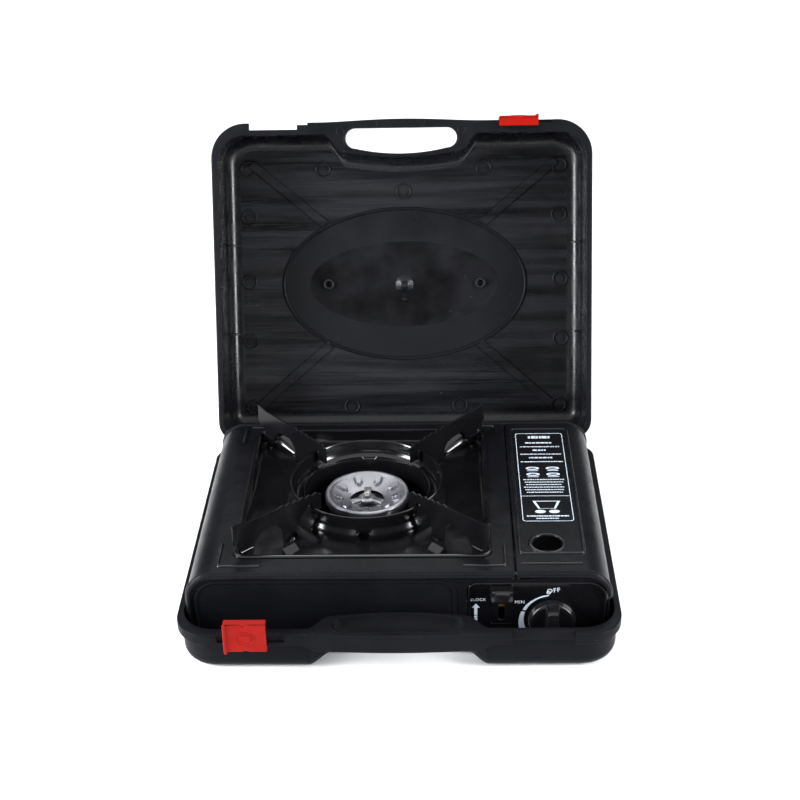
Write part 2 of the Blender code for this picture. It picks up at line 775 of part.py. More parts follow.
def inner_walls():
    low, high = PAN_TOP + GAP, CASING_INNER_TOP - GAP
    inset = PAN_SHEET + PAN_BEND + RUN
    y0, y1 = FRONT_FACE + SHEET + 5 * RUN + inset, REAR_FACE - 2 * RUN - inset
    outline = [(y0, low), (y1, low), (y1, high), (y0, high)]
    holes = [circle(PIPE_Y, KNOB_Z, PIPE_R + RUN, 16), circle(WIRE_Y, SPARK_Z, WIRE_HOLE_R, 16)]
    plate("heat_shield", outline, DIVIDER_X, DIVIDER_X + SHEET, "zinc", plane="YZ", holes=holes)
    left = DIVIDER_X + SHEET + GAP
    right = BODY_RIGHT - 2 * SHEET - 3 * GAP - inset
    top = COVER_PIVOT_Z + BULKHEAD_OVER
    waist, shoulder = COVER_PIVOT_Z - BULKHEAD_STEP, right - BULKHEAD_STEP
    outline = [(left, low), (right, low), (right, waist), (shoulder, COVER_PIVOT_Z), (shoulder, top), (left, top)]
    holes = [
        circle(CRADLE_X, CARTRIDGE_Z, MOUTH_HOLE_R, 24),
        circle(PUSHER_ROD_X, PUSHER_ROD_Z, PUSHER_ROD_R + RUN, 12),
    ]
    plate("bay_bulkhead", outline, BULKHEAD_Y, BULKHEAD_Y + PAN_SHEET, "zinc", plane="XZ", holes=holes)


# ---------------------------------------------------------------- controls
def control_panel():
    left, right = PANEL_LEFT + RUN, BODY_RIGHT - 4 * SHEET - RUN
    low, high = PAN_TOP + 3 * RUN, PANEL_TOP - RUN
    slot_low = LEVER_TOP - LEVER_TALL - LEVER_TRAVEL + 0.002
    reach = LEVER_NECK / 2 + RUN
    slot = rounded(LEVER_X - reach, LEVER_X + reach, slot_low, LEVER_TOP - 0.001, LEVER_NECK / 2)
    holes = [circle(KNOB_X, KNOB_Z, STEM_R + 2 * RUN, 20), slot]
    outline = rounded(left, right, low, high, PANEL_ROUND / 2, outer=PANEL_ROUND_OUTER)
    back = CONTROL_FACE + PAN_SHEET
    plate("control_panel", outline, CONTROL_FACE, back, "gloss", plane="XZ", holes=holes)


REGULATOR_FRONT = -0.110


def knob():
    """Round skirt with a bar grip across it, on the valve stem."""
    back = CONTROL_FACE - RUN
    face = back - KNOB_SKIRT
    tip = face - KNOB_GRIP
    middle = (KNOB_X, back, KNOB_Z)
    profile = [(0.0, KNOB_SKIRT), (KNOB_R * 0.86, KNOB_SKIRT), (KNOB_R * 0.96, KNOB_SKIRT - 0.0012)]
    body = turned("knob", [*profile, (KNOB_R, 0.0), (0.0, 0.0)], middle, "knob_black", axis="-Y")
    reach = KNOB_R * 0.88
    wide = KNOB_GRIP_WIDE / 2
    bar = arc(KNOB_X, KNOB_Z + reach - wide, wide, 0, 180)
    bar += arc(KNOB_X, KNOB_Z - reach + wide, wide, 180, 360)
    join(body, plate("knob_bar", bar, tip, face + 0.002, plane="XZ"))
    bottom = tip + KNOB_GRIP / 2
    cut(body, rod("knob_bore", (KNOB_X, back + 0.002, KNOB_Z), (KNOB_X, bottom, KNOB_Z), STEM_R + GAP))
    ends = (KNOB_X, REGULATOR_FRONT - RUN, KNOB_Z), (KNOB_X, bottom + GAP, KNOB_Z)
    rod("valve_stem", *ends, STEM_R, "zinc")


LEVER_SHRINK = 0.004


def lock_lever():
    front = CONTROL_FACE - RUN
    low = LEVER_TOP - LEVER_TALL
    lever = box(
        "lock_lever",
        (LEVER_X - LEVER_WIDE / 2, front - LEVER_PROUD, low),
        (LEVER_X + LEVER_WIDE / 2, front, LEVER_TOP),
        "knob_black",
        bevel=0.0015,
    )
    behind = CONTROL_FACE + PAN_SHEET + RUN
    neck = LEVER_NECK / 2
    neck_low = (LEVER_X - neck, front - 0.002, low + LEVER_SHRINK)
    join(lever, box("lever_neck", neck_low, (LEVER_X + neck, behind, LEVER_TOP - LEVER_SHRINK)))
    plate_low = (LEVER_X - 0.007, behind + GAP, low - LEVER_SHRINK)
    plate_high = (LEVER_X + 0.006, behind + GAP + SHEET, LEVER_TOP - LEVER_SHRINK / 2)
    box("lever_plate", plate_low, plate_high, "zinc")


# ---------------------------------------------------------------- gas parts
REGULATOR_NECK_R, REGULATOR_CHAMFER = 0.009, 0.002
RECEIVER_R, RECEIVER_BORE_R, RECEIVER_LONG = 0.013, 0.0045, 0.0125
JET_R, JET_FROM_DIVIDER = 0.005, 0.013
MIXER_Z = 0.047
PIEZO_FRONT, PIEZO_REAR, PIEZO_R = -0.111, -0.086, 0.0065
ELECTRODE_R, ELECTRODE_LOW, ELECTRODE_HIGH = 0.002, 0.040, 0.067
BRACKET_LOW, BRACKET_TALL, BRACKET_HALF, BRACKET_REACH = 0.0445, 0.0012, 0.004, 0.018


def gas_parts():
    rear = REGULATOR_FRONT + REGULATOR_LONG
    shoulder = REGULATOR_LONG - 3 * REGULATOR_CHAMFER
    profile = [
        (0.0, REGULATOR_LONG),
        (REGULATOR_NECK_R, REGULATOR_LONG),
        (REGULATOR_NECK_R + 0.003, REGULATOR_LONG - 0.004),
        (REGULATOR_R, shoulder),
        (REGULATOR_R, REGULATOR_CHAMFER),
        (REGULATOR_R - REGULATOR_CHAMFER, 0.0),
        (0.0, 0.0),
    ]
    turned("gas_regulator", profile, (KNOB_X, rear, KNOB_Z), "zinc", axis="-Y", steps=32)
    mouth = BULKHEAD_Y - GAP
    profile = [(RECEIVER_R, RECEIVER_LONG), (RECEIVER_R, 0.0)]
    profile += [(RECEIVER_BORE_R, 0.0), (RECEIVER_BORE_R, RECEIVER_LONG)]
    turned("nozzle_receiver", profile, (CRADLE_X, mouth, CARTRIDGE_Z), "brass", axis="-Y", steps=32)
    pipe_right = KNOB_X - REGULATOR_R - GAP
    jet_right = DIVIDER_X - JET_FROM_DIVIDER
    ends = (pipe_right, PIPE_Y, KNOB_Z), (jet_right + GAP, PIPE_Y, KNOB_Z)
    rod("gas_pipe", *ends, PIPE_R, "brass", sides=16)
    jet_left = jet_right - JET_LONG
    ends = (jet_right, PIPE_Y, KNOB_Z), (jet_left, PIPE_Y, KNOB_Z)
    rod("jet_holder", *ends, JET_R, "brass", sides=6)
    mixer = [
        (jet_left - GAP, PIPE_Y, KNOB_Z),
        (0.045, PIPE_Y, KNOB_Z),
        (0.015, PIPE_Y + 0.002, KNOB_Z + 0.002),
        (-0.012, PIPE_Y + 0.014, KNOB_Z + 0.008),
        (BURNER_X, -0.055, MIXER_Z),
        (BURNER_X, BURNER_Y - CUP_R - 2 * RUN, MIXER_Z),
    ]
    tube("mixing_tube", mixer, MIXER_R, "zinc")


def igniter():
    x, z = SPARK_X, SPARK_Z
    rod("piezo_igniter", (x, PIEZO_FRONT, z), (x, PIEZO_REAR, z), PIEZO_R, "knob_black")
    foot = electrode_place()
    wire = [
        (x, PIEZO_REAR + GAP, z),
        (x - 0.002, -0.079, z + 0.003),
        (0.132, -0.078, 0.060),
        (0.108, -0.084, 0.056),
        (DIVIDER_X, WIRE_Y, z),
        (0.060, -0.076, 0.045),
        (0.020, -0.048, 0.036),
        (foot.x + 0.003, foot.y - 0.008, 0.030),
        (foot.x, foot.y - 0.001, 0.033),
        (foot.x, foot.y, ELECTRODE_LOW - 0.0015),
    ]
    tube("ignition_wire", wire, WIRE_R, "rubber")
    ends = (foot.x, foot.y, ELECTRODE_LOW), (foot.x, foot.y, ELECTRODE_HIGH)
    rod("spark_electrode", *ends, ELECTRODE_R, "ceramic", sides=12)
    across = Vector((foot.x - BURNER_X, foot.y - BURNER_Y)).normalized()
    side = Vector((-across.y, across.x)) * BRACKET_HALF
    centre = Vector((BURNER_X, BURNER_Y))
    inner, outer = centre + across * (CUP_R + RUN), centre + across * (CUP_R + BRACKET_REACH)
    outline = [tuple(p) for p in (inner - side, outer - side, outer + side, inner + side)]
    hole = circle(foot.x, foot.y, ELECTRODE_R + 0.0004, 12)
    top = BRACKET_LOW + BRACKET_TALL
    plate("electrode_bracket", outline, BRACKET_LOW, top, "zinc", holes=[hole])


def electrode_place():
    angle = math.radians(-50)
    reach = (CAP_R + RING_THROAT_R) / 2
    return Vector((BURNER_X + reach * math.cos(angle), BURNER_Y + reach * math.sin(angle), 0.0))


CRADLE_RISE, CRADLE_SLOPE = 0.0045, 0.006


def bay_parts():
    """What holds and pushes the cartridge."""
    half = CRADLE_WIDE / 2
    low = PAN_TOP + GAP
    raised = low + CRADLE_RISE
    path = [(CRADLE_X + half, raised), (CRADLE_X + half - CRADLE_SLOPE, low)]
    path += [(CRADLE_X - half + CRADLE_SLOPE, low), (CRADLE_X - half, raised)]
    plate("cartridge_cradle", strip(path, SHEET), -0.060, 0.112, "zinc", plane="XZ")
    rod(
        "pusher_rod",
        (PUSHER_ROD_X, -0.104, PUSHER_ROD_Z),
        (PUSHER_ROD_X, PUSHER_Y - GAP, PUSHER_ROD_Z),
        PUSHER_ROD_R,
        "zinc",
        sides=12,
    )
    outline = rounded(PUSHER_ROD_X - 0.006, CRADLE_X + 0.020, PUSHER_ROD_Z - 0.004, 0.058, 0.005)
    plate("pusher_plate", outline, PUSHER_Y, PUSHER_Y + 0.0015, "zinc", plane="XZ")
    turns, steps, start, length = 4, 10, PUSHER_Y + 0.0035, 0.0045
    coil = []
    for i in range(turns * steps + 1):
        angle = 2 * math.pi * i / steps
        y = start + length * i / (turns * steps)
        coil.append((CRADLE_X + 0.006 * math.cos(angle), y, CARTRIDGE_Z + 0.006 * math.sin(angle)))
    curve = bpy.data.curves.new("pusher_spring", "CURVE")
    curve.dimensions = "3D"
    curve.bevel_depth = 0.00045
    curve.bevel_resolution = 1
    curve.use_fill_caps = True
    spline = curve.splines.new("POLY")
    spline.points.add(len(coil) - 1)
    for point, co in zip(spline.points, coil):
        point.co = (*co, 1.0)
    spring = bpy.data.objects.new("pusher_spring", curve)
    CUTTERS.objects.link(spring)
    bpy.context.view_layer.update()
    from_curve(spring, "zinc")


# ---------------------------------------------------------------- cooking area
CUP_TAPER, CUP_FOOT_R = 0.014, 0.018
FLAME_TALL, FLAME_INSET = 0.004, 0.006
HUB_R, SPOKE_WIDE = 0.0075, 0.004
STAND_REACH, STAND_HALF = 0.032, 0.013


def burner():
    centre = (BURNER_X, BURNER_Y, 0.0)
    cup_top = TRAY_FLOOR - 0.0047
    profile = [
        (0.0, cup_top),
        (CUP_R - 0.001, cup_top),
        (CUP_R, cup_top - 0.001),
        (CUP_R, CUP_BASE + CUP_TAPER),
        (CUP_FOOT_R, CUP_BASE),
        (0.0, CUP_BASE),
    ]
    turned("burner_cup", profile, centre, "cast_aluminium")
    low = cup_top + GAP
    high = low + FLAME_TALL
    head_low = high + GAP
    inner = CAP_R - FLAME_INSET
    profile = [(CAP_R - 0.0025, high), (CAP_R - 0.0015, low), (inner, low), (inner, high)]
    turned("flame_ring", profile, centre, "enamel")
    profile = [
        (CAP_HOLE_R + 0.003, CAP_TOP - 0.0045),
        (CAP_R - 0.009, CAP_TOP - 0.001),
        (CAP_R - 0.003, CAP_TOP),
        (CAP_R, CAP_TOP - 0.002),
        (CAP_R, head_low + 0.001),
        (CAP_R - 0.001, head_low),
        (CAP_HOLE_R, head_low),
        (CAP_HOLE_R, CAP_TOP - 0.006),
    ]
    head = turned("burner_head", profile, centre, "cast_aluminium")
    hub_top = head_low + 0.003
    join(head, rod("hub", (BURNER_X, BURNER_Y, head_low), (BURNER_X, BURNER_Y, hub_top), HUB_R))
    for i in range(3):
        angle = math.radians(90 + 120 * i)
        along = Vector((math.cos(angle), math.sin(angle)))
        side = Vector((-along.y, along.x)) * SPOKE_WIDE / 2
        start = Vector((BURNER_X, BURNER_Y)) + along * SPOKE_WIDE
        end = Vector((BURNER_X, BURNER_Y)) + along * (CAP_HOLE_R + 0.003)
        outline = [tuple(p) for p in (start - side, end - side, end + side, start + side)]
        join(head, plate(f"spoke_{i}", outline, head_low + 0.0002, hub_top - 0.0004))
    profile = [(0.0, 0.0028), (0.0026, 0.0024), (0.0034, 0.001), (0.0034, 0.0), (0.0, 0.0)]
    turned("cap_screw", profile, (BURNER_X, BURNER_Y, hub_top + GAP), "brass", steps=16)
    legs = BURNER_X - STAND_REACH, BURNER_X + STAND_REACH
    top = CUP_BASE - GAP
    path = [(legs[0], PAN_TOP + GAP), (legs[0], top), (legs[1], top), (legs[1], PAN_TOP + GAP)]
    near, far = BURNER_Y - STAND_HALF, BURNER_Y + STAND_HALF
    plate("burner_stand", strip(path, PAN_SHEET), near, far, "zinc", plane="XZ")


def drip_tray():
    """Square pressed tray with a round hole for the burner, its rim resting on the casing."""
    gap, wall = RUN, SHEET
    x0, x1, y0, y1 = TRAY_LEFT + gap, TRAY_RIGHT - gap, TRAY_FRONT + gap, TRAY_REAR - gap
    rim = BODY_TOP + GAP

    def square(inset, z):
        loop = rounded(x0 + inset, x1 - inset, y0 + inset, y1 - inset, TRAY_ROUND)
        return [(x, y, z) for x, y in subdivided(loop, TRAY_SIDE_STEPS)]

    def hole(radius, z):
        ring = []
        for x, y, _ in square(0.0, 0.0):
            turn = Vector((x - BURNER_X, y - BURNER_Y)).normalized() * radius
            ring.append((BURNER_X + turn.x, BURNER_Y + turn.y, z))
        return ring

    rings = [
        hole(TRAY_HOLE_R, TRAY_FLOOR - wall),
        square(0.003, TRAY_FLOOR - wall),
        square(0.0, TRAY_FLOOR + 0.002),
        square(0.0, rim),
        square(-TRAY_FLANGE - gap, rim),
        square(-TRAY_FLANGE - gap, rim + wall),
        square(wall, rim + wall),
        square(wall, TRAY_FLOOR + 0.0025),
        square(0.0035, TRAY_FLOOR),
        hole(TRAY_HOLE_R, TRAY_FLOOR),
    ]
    loft("drip_tray", rings, "gloss", closed=True)


def windshield_ring():
    low, wall = TRAY_FLOOR + GAP, PAN_SHEET
    inner = RING_R - wall
    profile = [
        (RING_R, RING_TOP),
        (RING_R, low),
        (inner, low),
        (inner, RING_SHELF - SHEET),
        (RING_THROAT_R + SHEET, RING_SHELF - SHEET),
        (RING_THROAT_R + SHEET, TRAY_FLOOR - 0.005),
        (RING_THROAT_R, TRAY_FLOOR - 0.005),
        (RING_THROAT_R, RING_SHELF),
        (inner, RING_SHELF),
        (inner, RING_TOP),
    ]
    turned("windshield_ring", profile, (BURNER_X, BURNER_Y, 0.0), "gloss", steps=48)


def arm_outline():
    """One pan support seen from its side, as (distance from the burner's axis, height)."""
    teeth = []
    start, end = ARM_INNER + 0.003, 0.100
    pitch = (end - start) / ARM_TEETH
    for i in range(ARM_TEETH):
        r = start + pitch * i
        base = ARM_TOP - 0.0035 * (1 - i / ARM_TEETH)
        teeth += [(r, base - 0.0016), (r + pitch * 0.35, base), (r + pitch * 0.95, base - 0.0004)]
    foot = TRAY_FLOOR + GAP
    clear = RING_TOP + 2 * RUN
    return [
        (ARM_INNER, ARM_TOP - 0.006),
        (ARM_INNER + 0.001, 0.079),
        (RING_R - PAN_SHEET - 0.002, 0.079),
        (RING_R - PAN_SHEET - 0.002, clear),
        (RING_R + 0.0015, clear),
        (0.077, 0.080),
        (0.083, foot),
        (0.096, foot),
        (0.097, 0.078),
        (0.104, 0.086),
        (0.118, 0.086),
        (0.126, 0.079),
        (0.130, foot),
        (0.138, foot),
        (0.141, 0.082),
        (ARM_OUTER, 0.087),
        (ARM_OUTER - 0.0005, ARM_TIP - 0.001),
        (ARM_OUTER - 0.003, ARM_TIP),
        (0.137, ARM_TOP + 0.0006),
        *reversed(teeth),
    ]


def pan_supports():
    for i, name in enumerate(("rear_right", "rear_left", "front_left", "front_right")):
        arm = plate(f"support_{name}", arm_outline(), -ARM_SHEET / 2, ARM_SHEET / 2, "gloss", plane="XZ")
        turn = Matrix.Rotation(math.radians(45 + 90 * i), 4, "Z")
        arm.matrix_world = Matrix.Translation((BURNER_X, BURNER_Y, 0.0)) @ turn @ arm.matrix_world


def main():
    case_pieces()
    casing()
    end_panels()
    bottom_pieces()
    right_side()
    inner_walls()
    control_panel()
    knob()
    lock_lever()
    gas_parts()
    igniter()
    bay_parts()
    burner()
    drip_tray()
    windshield_ring()
    pan_supports()


main()
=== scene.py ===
"""Looks of a cartridge stove standing in its open carrying case.

Frame: origin at the centre of the case's underside, +X right, +Y towards the case hinge, +Z up, in metres.
The case lid is worked out shut on the base, and then swung open about its hinge.
"""

import json
import logging
import math
from dataclasses import dataclass, replace
from enum import Enum

import bmesh
import bpy
import numpy as np
from mathutils import Matrix, Vector
from mathutils.geometry import tessellate_polygon

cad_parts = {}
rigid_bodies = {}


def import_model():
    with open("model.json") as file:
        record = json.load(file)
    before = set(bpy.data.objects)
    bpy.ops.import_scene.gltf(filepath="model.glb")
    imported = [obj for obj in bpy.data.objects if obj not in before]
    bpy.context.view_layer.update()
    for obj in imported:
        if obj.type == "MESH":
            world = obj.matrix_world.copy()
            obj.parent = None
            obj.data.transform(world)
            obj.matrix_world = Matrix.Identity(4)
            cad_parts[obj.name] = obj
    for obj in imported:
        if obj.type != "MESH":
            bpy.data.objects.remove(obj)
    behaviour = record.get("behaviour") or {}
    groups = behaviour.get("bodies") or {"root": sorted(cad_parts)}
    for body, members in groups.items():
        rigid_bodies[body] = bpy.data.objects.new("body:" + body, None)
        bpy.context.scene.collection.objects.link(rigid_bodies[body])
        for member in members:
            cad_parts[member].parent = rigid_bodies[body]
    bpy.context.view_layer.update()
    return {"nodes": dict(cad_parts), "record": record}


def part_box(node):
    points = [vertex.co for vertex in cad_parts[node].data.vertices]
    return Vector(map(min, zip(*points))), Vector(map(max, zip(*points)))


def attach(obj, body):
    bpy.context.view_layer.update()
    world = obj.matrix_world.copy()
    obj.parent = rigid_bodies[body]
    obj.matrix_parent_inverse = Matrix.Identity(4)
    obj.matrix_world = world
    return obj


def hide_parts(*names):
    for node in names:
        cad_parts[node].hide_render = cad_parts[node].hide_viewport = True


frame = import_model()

LOG = logging.getLogger("camping_stove")

Points = np.ndarray


class Plane(Enum):
    """The plane that a flat outline is drawn in, and what its thickness runs along."""

    XY = (0, 1, 2)
    XZ = (0, 2, 1)
    YZ = (1, 2, 0)


class Slot(Enum):
    """Names of the record's material slots."""

    CASE = "case_plastic"
    LATCH = "latch_red"
    BODY = "body_enamel"
    TRAY = "tray_enamel"
    PANEL = "gloss_black"
    KNOB = "knob_black"
    STEEL = "zinc_steel"
    PORT = "port_steel"
    CAST = "cast_aluminium"
    BRASS = "brass"
    CERAMIC = "ceramic"
    RUBBER = "rubber_black"


# ---------------------------------------------------------------- finishes
class NodeSheet:
    """A material under construction, with its shader and its object coordinates."""

    def __init__(self, name: str) -> None:
        """Starts a material that has only a Principled shader.

        Args:
            name: the material's name.
        """
        self.material = bpy.data.materials.new(name)
        self.material.use_nodes = True
        self.tree = self.material.node_tree
        self.shader = self.tree.nodes["Principled BSDF"]
        self.coords = self.tree.nodes.new("ShaderNodeTexCoord").outputs["Object"]

    def node(self, kind: str, settings: dict | None = None, **sockets: object) -> bpy.types.Node:
        """Adds a node and sets or links its inputs.

        Args:
            kind: the node's type, without the ShaderNode prefix.
            settings: the node's own properties.
            **sockets: input values or sockets to link, by lower-case name.

        Returns:
            The new node.
        """
        made = self.tree.nodes.new("ShaderNode" + kind)
        for key, value in (settings or {}).items():
            setattr(made, key, value)
        inputs = {}
        for entry in made.inputs:
            if entry.enabled:
                inputs.setdefault(entry.name.lower().replace(" ", "_"), entry)
        for key, value in sockets.items():
            entry = inputs[key]
            if isinstance(value, bpy.types.NodeSocket):
                self.tree.links.new(value, entry)
            else:
                entry.default_value = value
        return made

    def stretched(self, scale: tuple[float, float, float]) -> bpy.types.NodeSocket:
        """Returns object coordinates scaled by a factor along each axis."""
        return self.node("Mapping", vector=self.coords, scale=scale).outputs["Vector"]

    def noise(self, scale: float, detail: float = 2.0, source: object = None) -> bpy.types.NodeSocket:
        """Returns the strength of a noise pattern, in cells per metre."""
        made = self.node("TexNoise", vector=source or self.coords, scale=scale, detail=detail)
        return made.outputs["Fac"]

    def remap(self, value: object, low: float, high: float, new_low: float, new_high: float) -> object:
        """Moves a value from one range to another, held at the new range's ends.

        Args:
            value: the value, or the socket that gives it.
            low: start of the old range.
            high: end of the old range.
            new_low: start of the new range.
            new_high: end of the new range.

        Returns:
            The new value's socket.
        """
        made = self.node(
            "MapRange", value=value, from_min=low, from_max=high, to_min=new_low, to_max=new_high
        )
        return made.outputs["Result"]

    def blend(self, fac: object, first: tuple, second: tuple) -> object:
        """Mixes two colours.

        Args:
            fac: socket of the share of the second.
            first: the first colour.
            second: the second colour.

        Returns:
            The mixed colour's socket.
        """
        made = self.tree.nodes.new("ShaderNodeMix")
        made.data_type = "RGBA"
        self.tree.links.new(fac, made.inputs["Factor"])
        made.inputs[6].default_value = (*first, 1.0)
        made.inputs[7].default_value = (*second, 1.0)
        return made.outputs[2]

    def bump(self, height: object, depth: float, under: object = None) -> object:
        """Raises a normal by a height pattern.

        Args:
            height: socket of the pattern.
            depth: its height in metres.
            under: the normal to start from, or None for the plain one.

        Returns:
            The normal's socket.
        """
        sockets = {"height": height, "distance": depth, "strength": 1.0}
        if under is not None:
            sockets["normal"] = under
        return self.node("Bump", **sockets).outputs["Normal"]

    def feed(self, name: str, value: object) -> None:
        """Sets or links one of the shader's inputs.

        Args:
            name: the input's name.
            value: a value or a socket.
        """
        entry = self.shader.inputs[name]
        if isinstance(value, bpy.types.NodeSocket):
            self.tree.links.new(value, entry)
        else:
            entry.default_value = value


@dataclass(frozen=True)
class Finish:
    """A surface finish: a colour that drifts a little, a roughness that varies, and a fine grain."""

    name: str
    colour: tuple[float, float, float]
    tint: tuple[float, float, float]
    roughness: float
    spread: float = 0.05
    metallic: float = 0.0
    specular: float = 0.5
    coat: float = 0.0
    grain: float = 900.0
    depth: float = 0.00002
    patch: float = 18.0
    specks: float = 0.0

    def build(self) -> bpy.types.Material:
        """Makes the material.

        Returns:
            The finished material.
        """
        sheet = NodeSheet(self.name)
        sheet.feed("Metallic", self.metallic)
        sheet.feed("Specular IOR Level", self.specular)
        sheet.feed("Coat Weight", self.coat)
        sheet.feed("Coat Roughness", 0.06)
        colour = sheet.blend(self.drift(sheet), self.colour, self.tint)
        if self.specks:
            colour = self.dusted(sheet, colour)
        sheet.feed("Base Color", colour)
        rub = self.wear(sheet)
        low, high = self.roughness - self.spread, self.roughness + self.spread
        sheet.feed("Roughness", sheet.remap(rub, 0.3, 0.7, low, high))
        sheet.feed("Normal", self.relief(sheet))
        return sheet.material

    def drift(self, sheet: NodeSheet) -> object:
        """Returns the share of the tint: soft patches."""
        return sheet.remap(sheet.noise(self.patch, 5.0), 0.35, 0.65, 0.0, 1.0)

    def dusted(self, sheet: NodeSheet, colour: object) -> object:
        """Adds a few pale specks to a colour: small discs about scattered points, kept in patches.

        Args:
            sheet: the material under construction.
            colour: socket of the plain colour.

        Returns:
            The speckled colour's socket.
        """
        cells = sheet.node("TexVoronoi", vector=sheet.coords, scale=110.0)
        disc = sheet.remap(cells.outputs["Distance"], 0.035, 0.060, 1.0, 0.0)
        patch = sheet.remap(sheet.noise(30.0, 2.0), 0.52, 0.58, 0.0, 1.0)
        both = sheet.node("Math", {"operation": "MULTIPLY"})
        sheet.tree.links.new(disc, both.inputs[0])
        sheet.tree.links.new(patch, both.inputs[1])
        mixed = sheet.tree.nodes.new("ShaderNodeMix")
        mixed.data_type = "RGBA"
        sheet.tree.links.new(both.outputs[0], mixed.inputs["Factor"])
        sheet.tree.links.new(colour, mixed.inputs[6])
        mixed.inputs[7].default_value = (self.specks, self.specks, self.specks, 1.0)
        return mixed.outputs[2]

    def wear(self, sheet: NodeSheet) -> object:
        """Returns the pattern that the roughness follows."""
        return sheet.noise(self.patch * 3.7, 4.0)

    def relief(self, sheet: NodeSheet) -> object:
        """Returns the normal with the finish's fine grain."""
        return sheet.bump(sheet.noise(self.grain), self.depth)


@dataclass(frozen=True)
class FlowMarked(Finish):
    """Moulded plastic that also shows level streaks where the melt flowed."""

    streak: float = 0.0020

    def drift(self, sheet: NodeSheet) -> object:
        """Returns the share of the tint: long level bands."""
        return sheet.remap(sheet.noise(1.0, 5.0, sheet.stretched((6.0, 90.0, 90.0))), 0.40, 0.60, 0.0, 1.0)

    def wear(self, sheet: NodeSheet) -> object:
        """Returns level streaks, so that the shine follows them."""
        return sheet.noise(1.0, 5.0, sheet.stretched((7.0, 120.0, 120.0)))

    def relief(self, sheet: NodeSheet) -> object:
        """Puts the grain over wavy streaks that run along X.

        The streaks are noise on coordinates squeezed along X, so each cell is a long level sliver, and
        a coarser noise decides where they show.

        Args:
            sheet: the material under construction.

        Returns:
            The normal's socket.
        """
        slivers = sheet.noise(1.0, 4.0, sheet.stretched((9.0, 150.0, 150.0)))
        ripples = sheet.noise(1.0, 2.0, sheet.stretched((5.0, 420.0, 420.0)))
        where = sheet.remap(sheet.noise(9.0, 3.0), 0.42, 0.62, 0.0, 1.0)
        mixed = sheet.node("Math", {"operation": "MULTIPLY"})
        sheet.tree.links.new(slivers, mixed.inputs[0])
        sheet.tree.links.new(where, mixed.inputs[1])
        first = sheet.bump(mixed.outputs[0], self.streak)
        second = sheet.bump(ripples, self.streak * 0.10, first)
        return sheet.bump(sheet.noise(self.grain), self.depth, second)


@dataclass(frozen=True)
class Brushed(Finish):
    """Plated or drawn metal with fine lines along one axis."""

    lines: tuple[float, float, float] = (40.0, 900.0, 900.0)

    def relief(self, sheet: NodeSheet) -> object:
        """Returns the grain over drawn lines: noise squeezed along the drawing direction."""
        drawn = sheet.noise(1.0, 3.0, sheet.stretched(self.lines))
        return sheet.bump(sheet.noise(self.grain), self.depth, sheet.bump(drawn, self.depth * 0.8))


@dataclass(frozen=True)
class Cast(Finish):
    """Tumbled casting: pitted, with soot in patches."""

    pits: float = 0.00010

    def relief(self, sheet: NodeSheet) -> object:
        """Adds rounded pits, from the distance to scattered points.

        Args:
            sheet: the material's sheet of nodes.

        Returns:
            The socket of the bumped normal.
        """
        cells = sheet.node("TexVoronoi", vector=sheet.coords, scale=620.0)
        pitted = sheet.bump(cells.outputs["Distance"], self.pits)
        return sheet.bump(sheet.noise(self.grain, 4.0), self.depth, pitted)


MOULDED = Finish(
    "moulded_black", (0.0038, 0.0039, 0.0050), (0.0056, 0.0057, 0.0072), 0.36, 0.07,
    specular=0.075, depth=0.00003, specks=0.05,
)
MOULDED_BASE = replace(MOULDED, name="moulded_black_base", specular=0.035)
MOULDED_BEND = replace(MOULDED, name="moulded_black_bend", roughness=0.27, spread=0.10, specular=0.22)
PANEL_FLOW = FlowMarked(
    "moulded_black_flow", (0.0026, 0.0027, 0.0036), (0.0100, 0.0101, 0.0122), 0.34, 0.16,
    specular=0.165, specks=0.06,
)
PANEL_SMOOTH = Finish(
    "moulded_black_smooth", (0.0036, 0.0037, 0.0048), (0.0062, 0.0063, 0.0078), 0.36, 0.10,
    specular=0.13, patch=9.0, specks=0.05,
)
# Darker, rougher and less shiny finish inside the sunk inner oval of the lid's panel.
PANEL_DARK_OVAL = Finish(
    "moulded_black_stained", (0.0012, 0.0012, 0.0016), (0.0066, 0.0067, 0.0080), 0.52, 0.12,
    specular=0.06, patch=28.0, specks=0.06,
)
LATCH_RED = Finish(
    "latch_red", (0.175, 0.0034, 0.0014), (0.210, 0.0050, 0.0024), 0.36, 0.05,
    specular=0.07, depth=0.00003,
)
ENAMEL = Finish(
    "body_enamel", (0.0032, 0.0033, 0.0042), (0.0048, 0.0049, 0.0062), 0.30, 0.06,
    specular=0.065, grain=520.0, specks=0.03,
)
ENAMEL_BEAD = replace(ENAMEL, name="bead_enamel", roughness=0.24, specular=0.26)
ENAMEL_FRONT = replace(ENAMEL, name="front_enamel", specular=0.012)
GLOSS = Finish(
    "gloss_enamel", (0.0026, 0.0026, 0.0032), (0.0042, 0.0042, 0.0050), 0.15, 0.04,
    specular=0.37, grain=150.0, depth=0.00004,
)
GLOSS_ARM = replace(GLOSS, name="arm_enamel", roughness=0.20, specular=0.13)
PANEL_GLOSS = Finish(
    "gloss_panel", (0.0024, 0.0024, 0.0030), (0.0038, 0.0038, 0.0046), 0.12, 0.03,
    specular=0.20, grain=70.0,
)
KNOB_BLACK = Finish(
    "knob_black", (0.0036, 0.0036, 0.0044), (0.0052, 0.0052, 0.0062), 0.22, 0.05, specular=0.30
)
ZINC = Brushed("zinc_plate", (0.50, 0.51, 0.53), (0.60, 0.60, 0.59), 0.34, 0.07, 0.95)
PORT_STEEL = Brushed("port_steel", (0.020, 0.019, 0.019), (0.045, 0.040, 0.036), 0.55, 0.10, 0.6)
ALUMINIUM = Cast("cast_aluminium", (0.29, 0.29, 0.31), (0.15, 0.15, 0.17), 0.36, 0.08, 0.9, depth=0.00003)
BRASS = Brushed("turned_brass", (0.50, 0.33, 0.14), (0.60, 0.42, 0.20), 0.30, 0.06, 0.95)
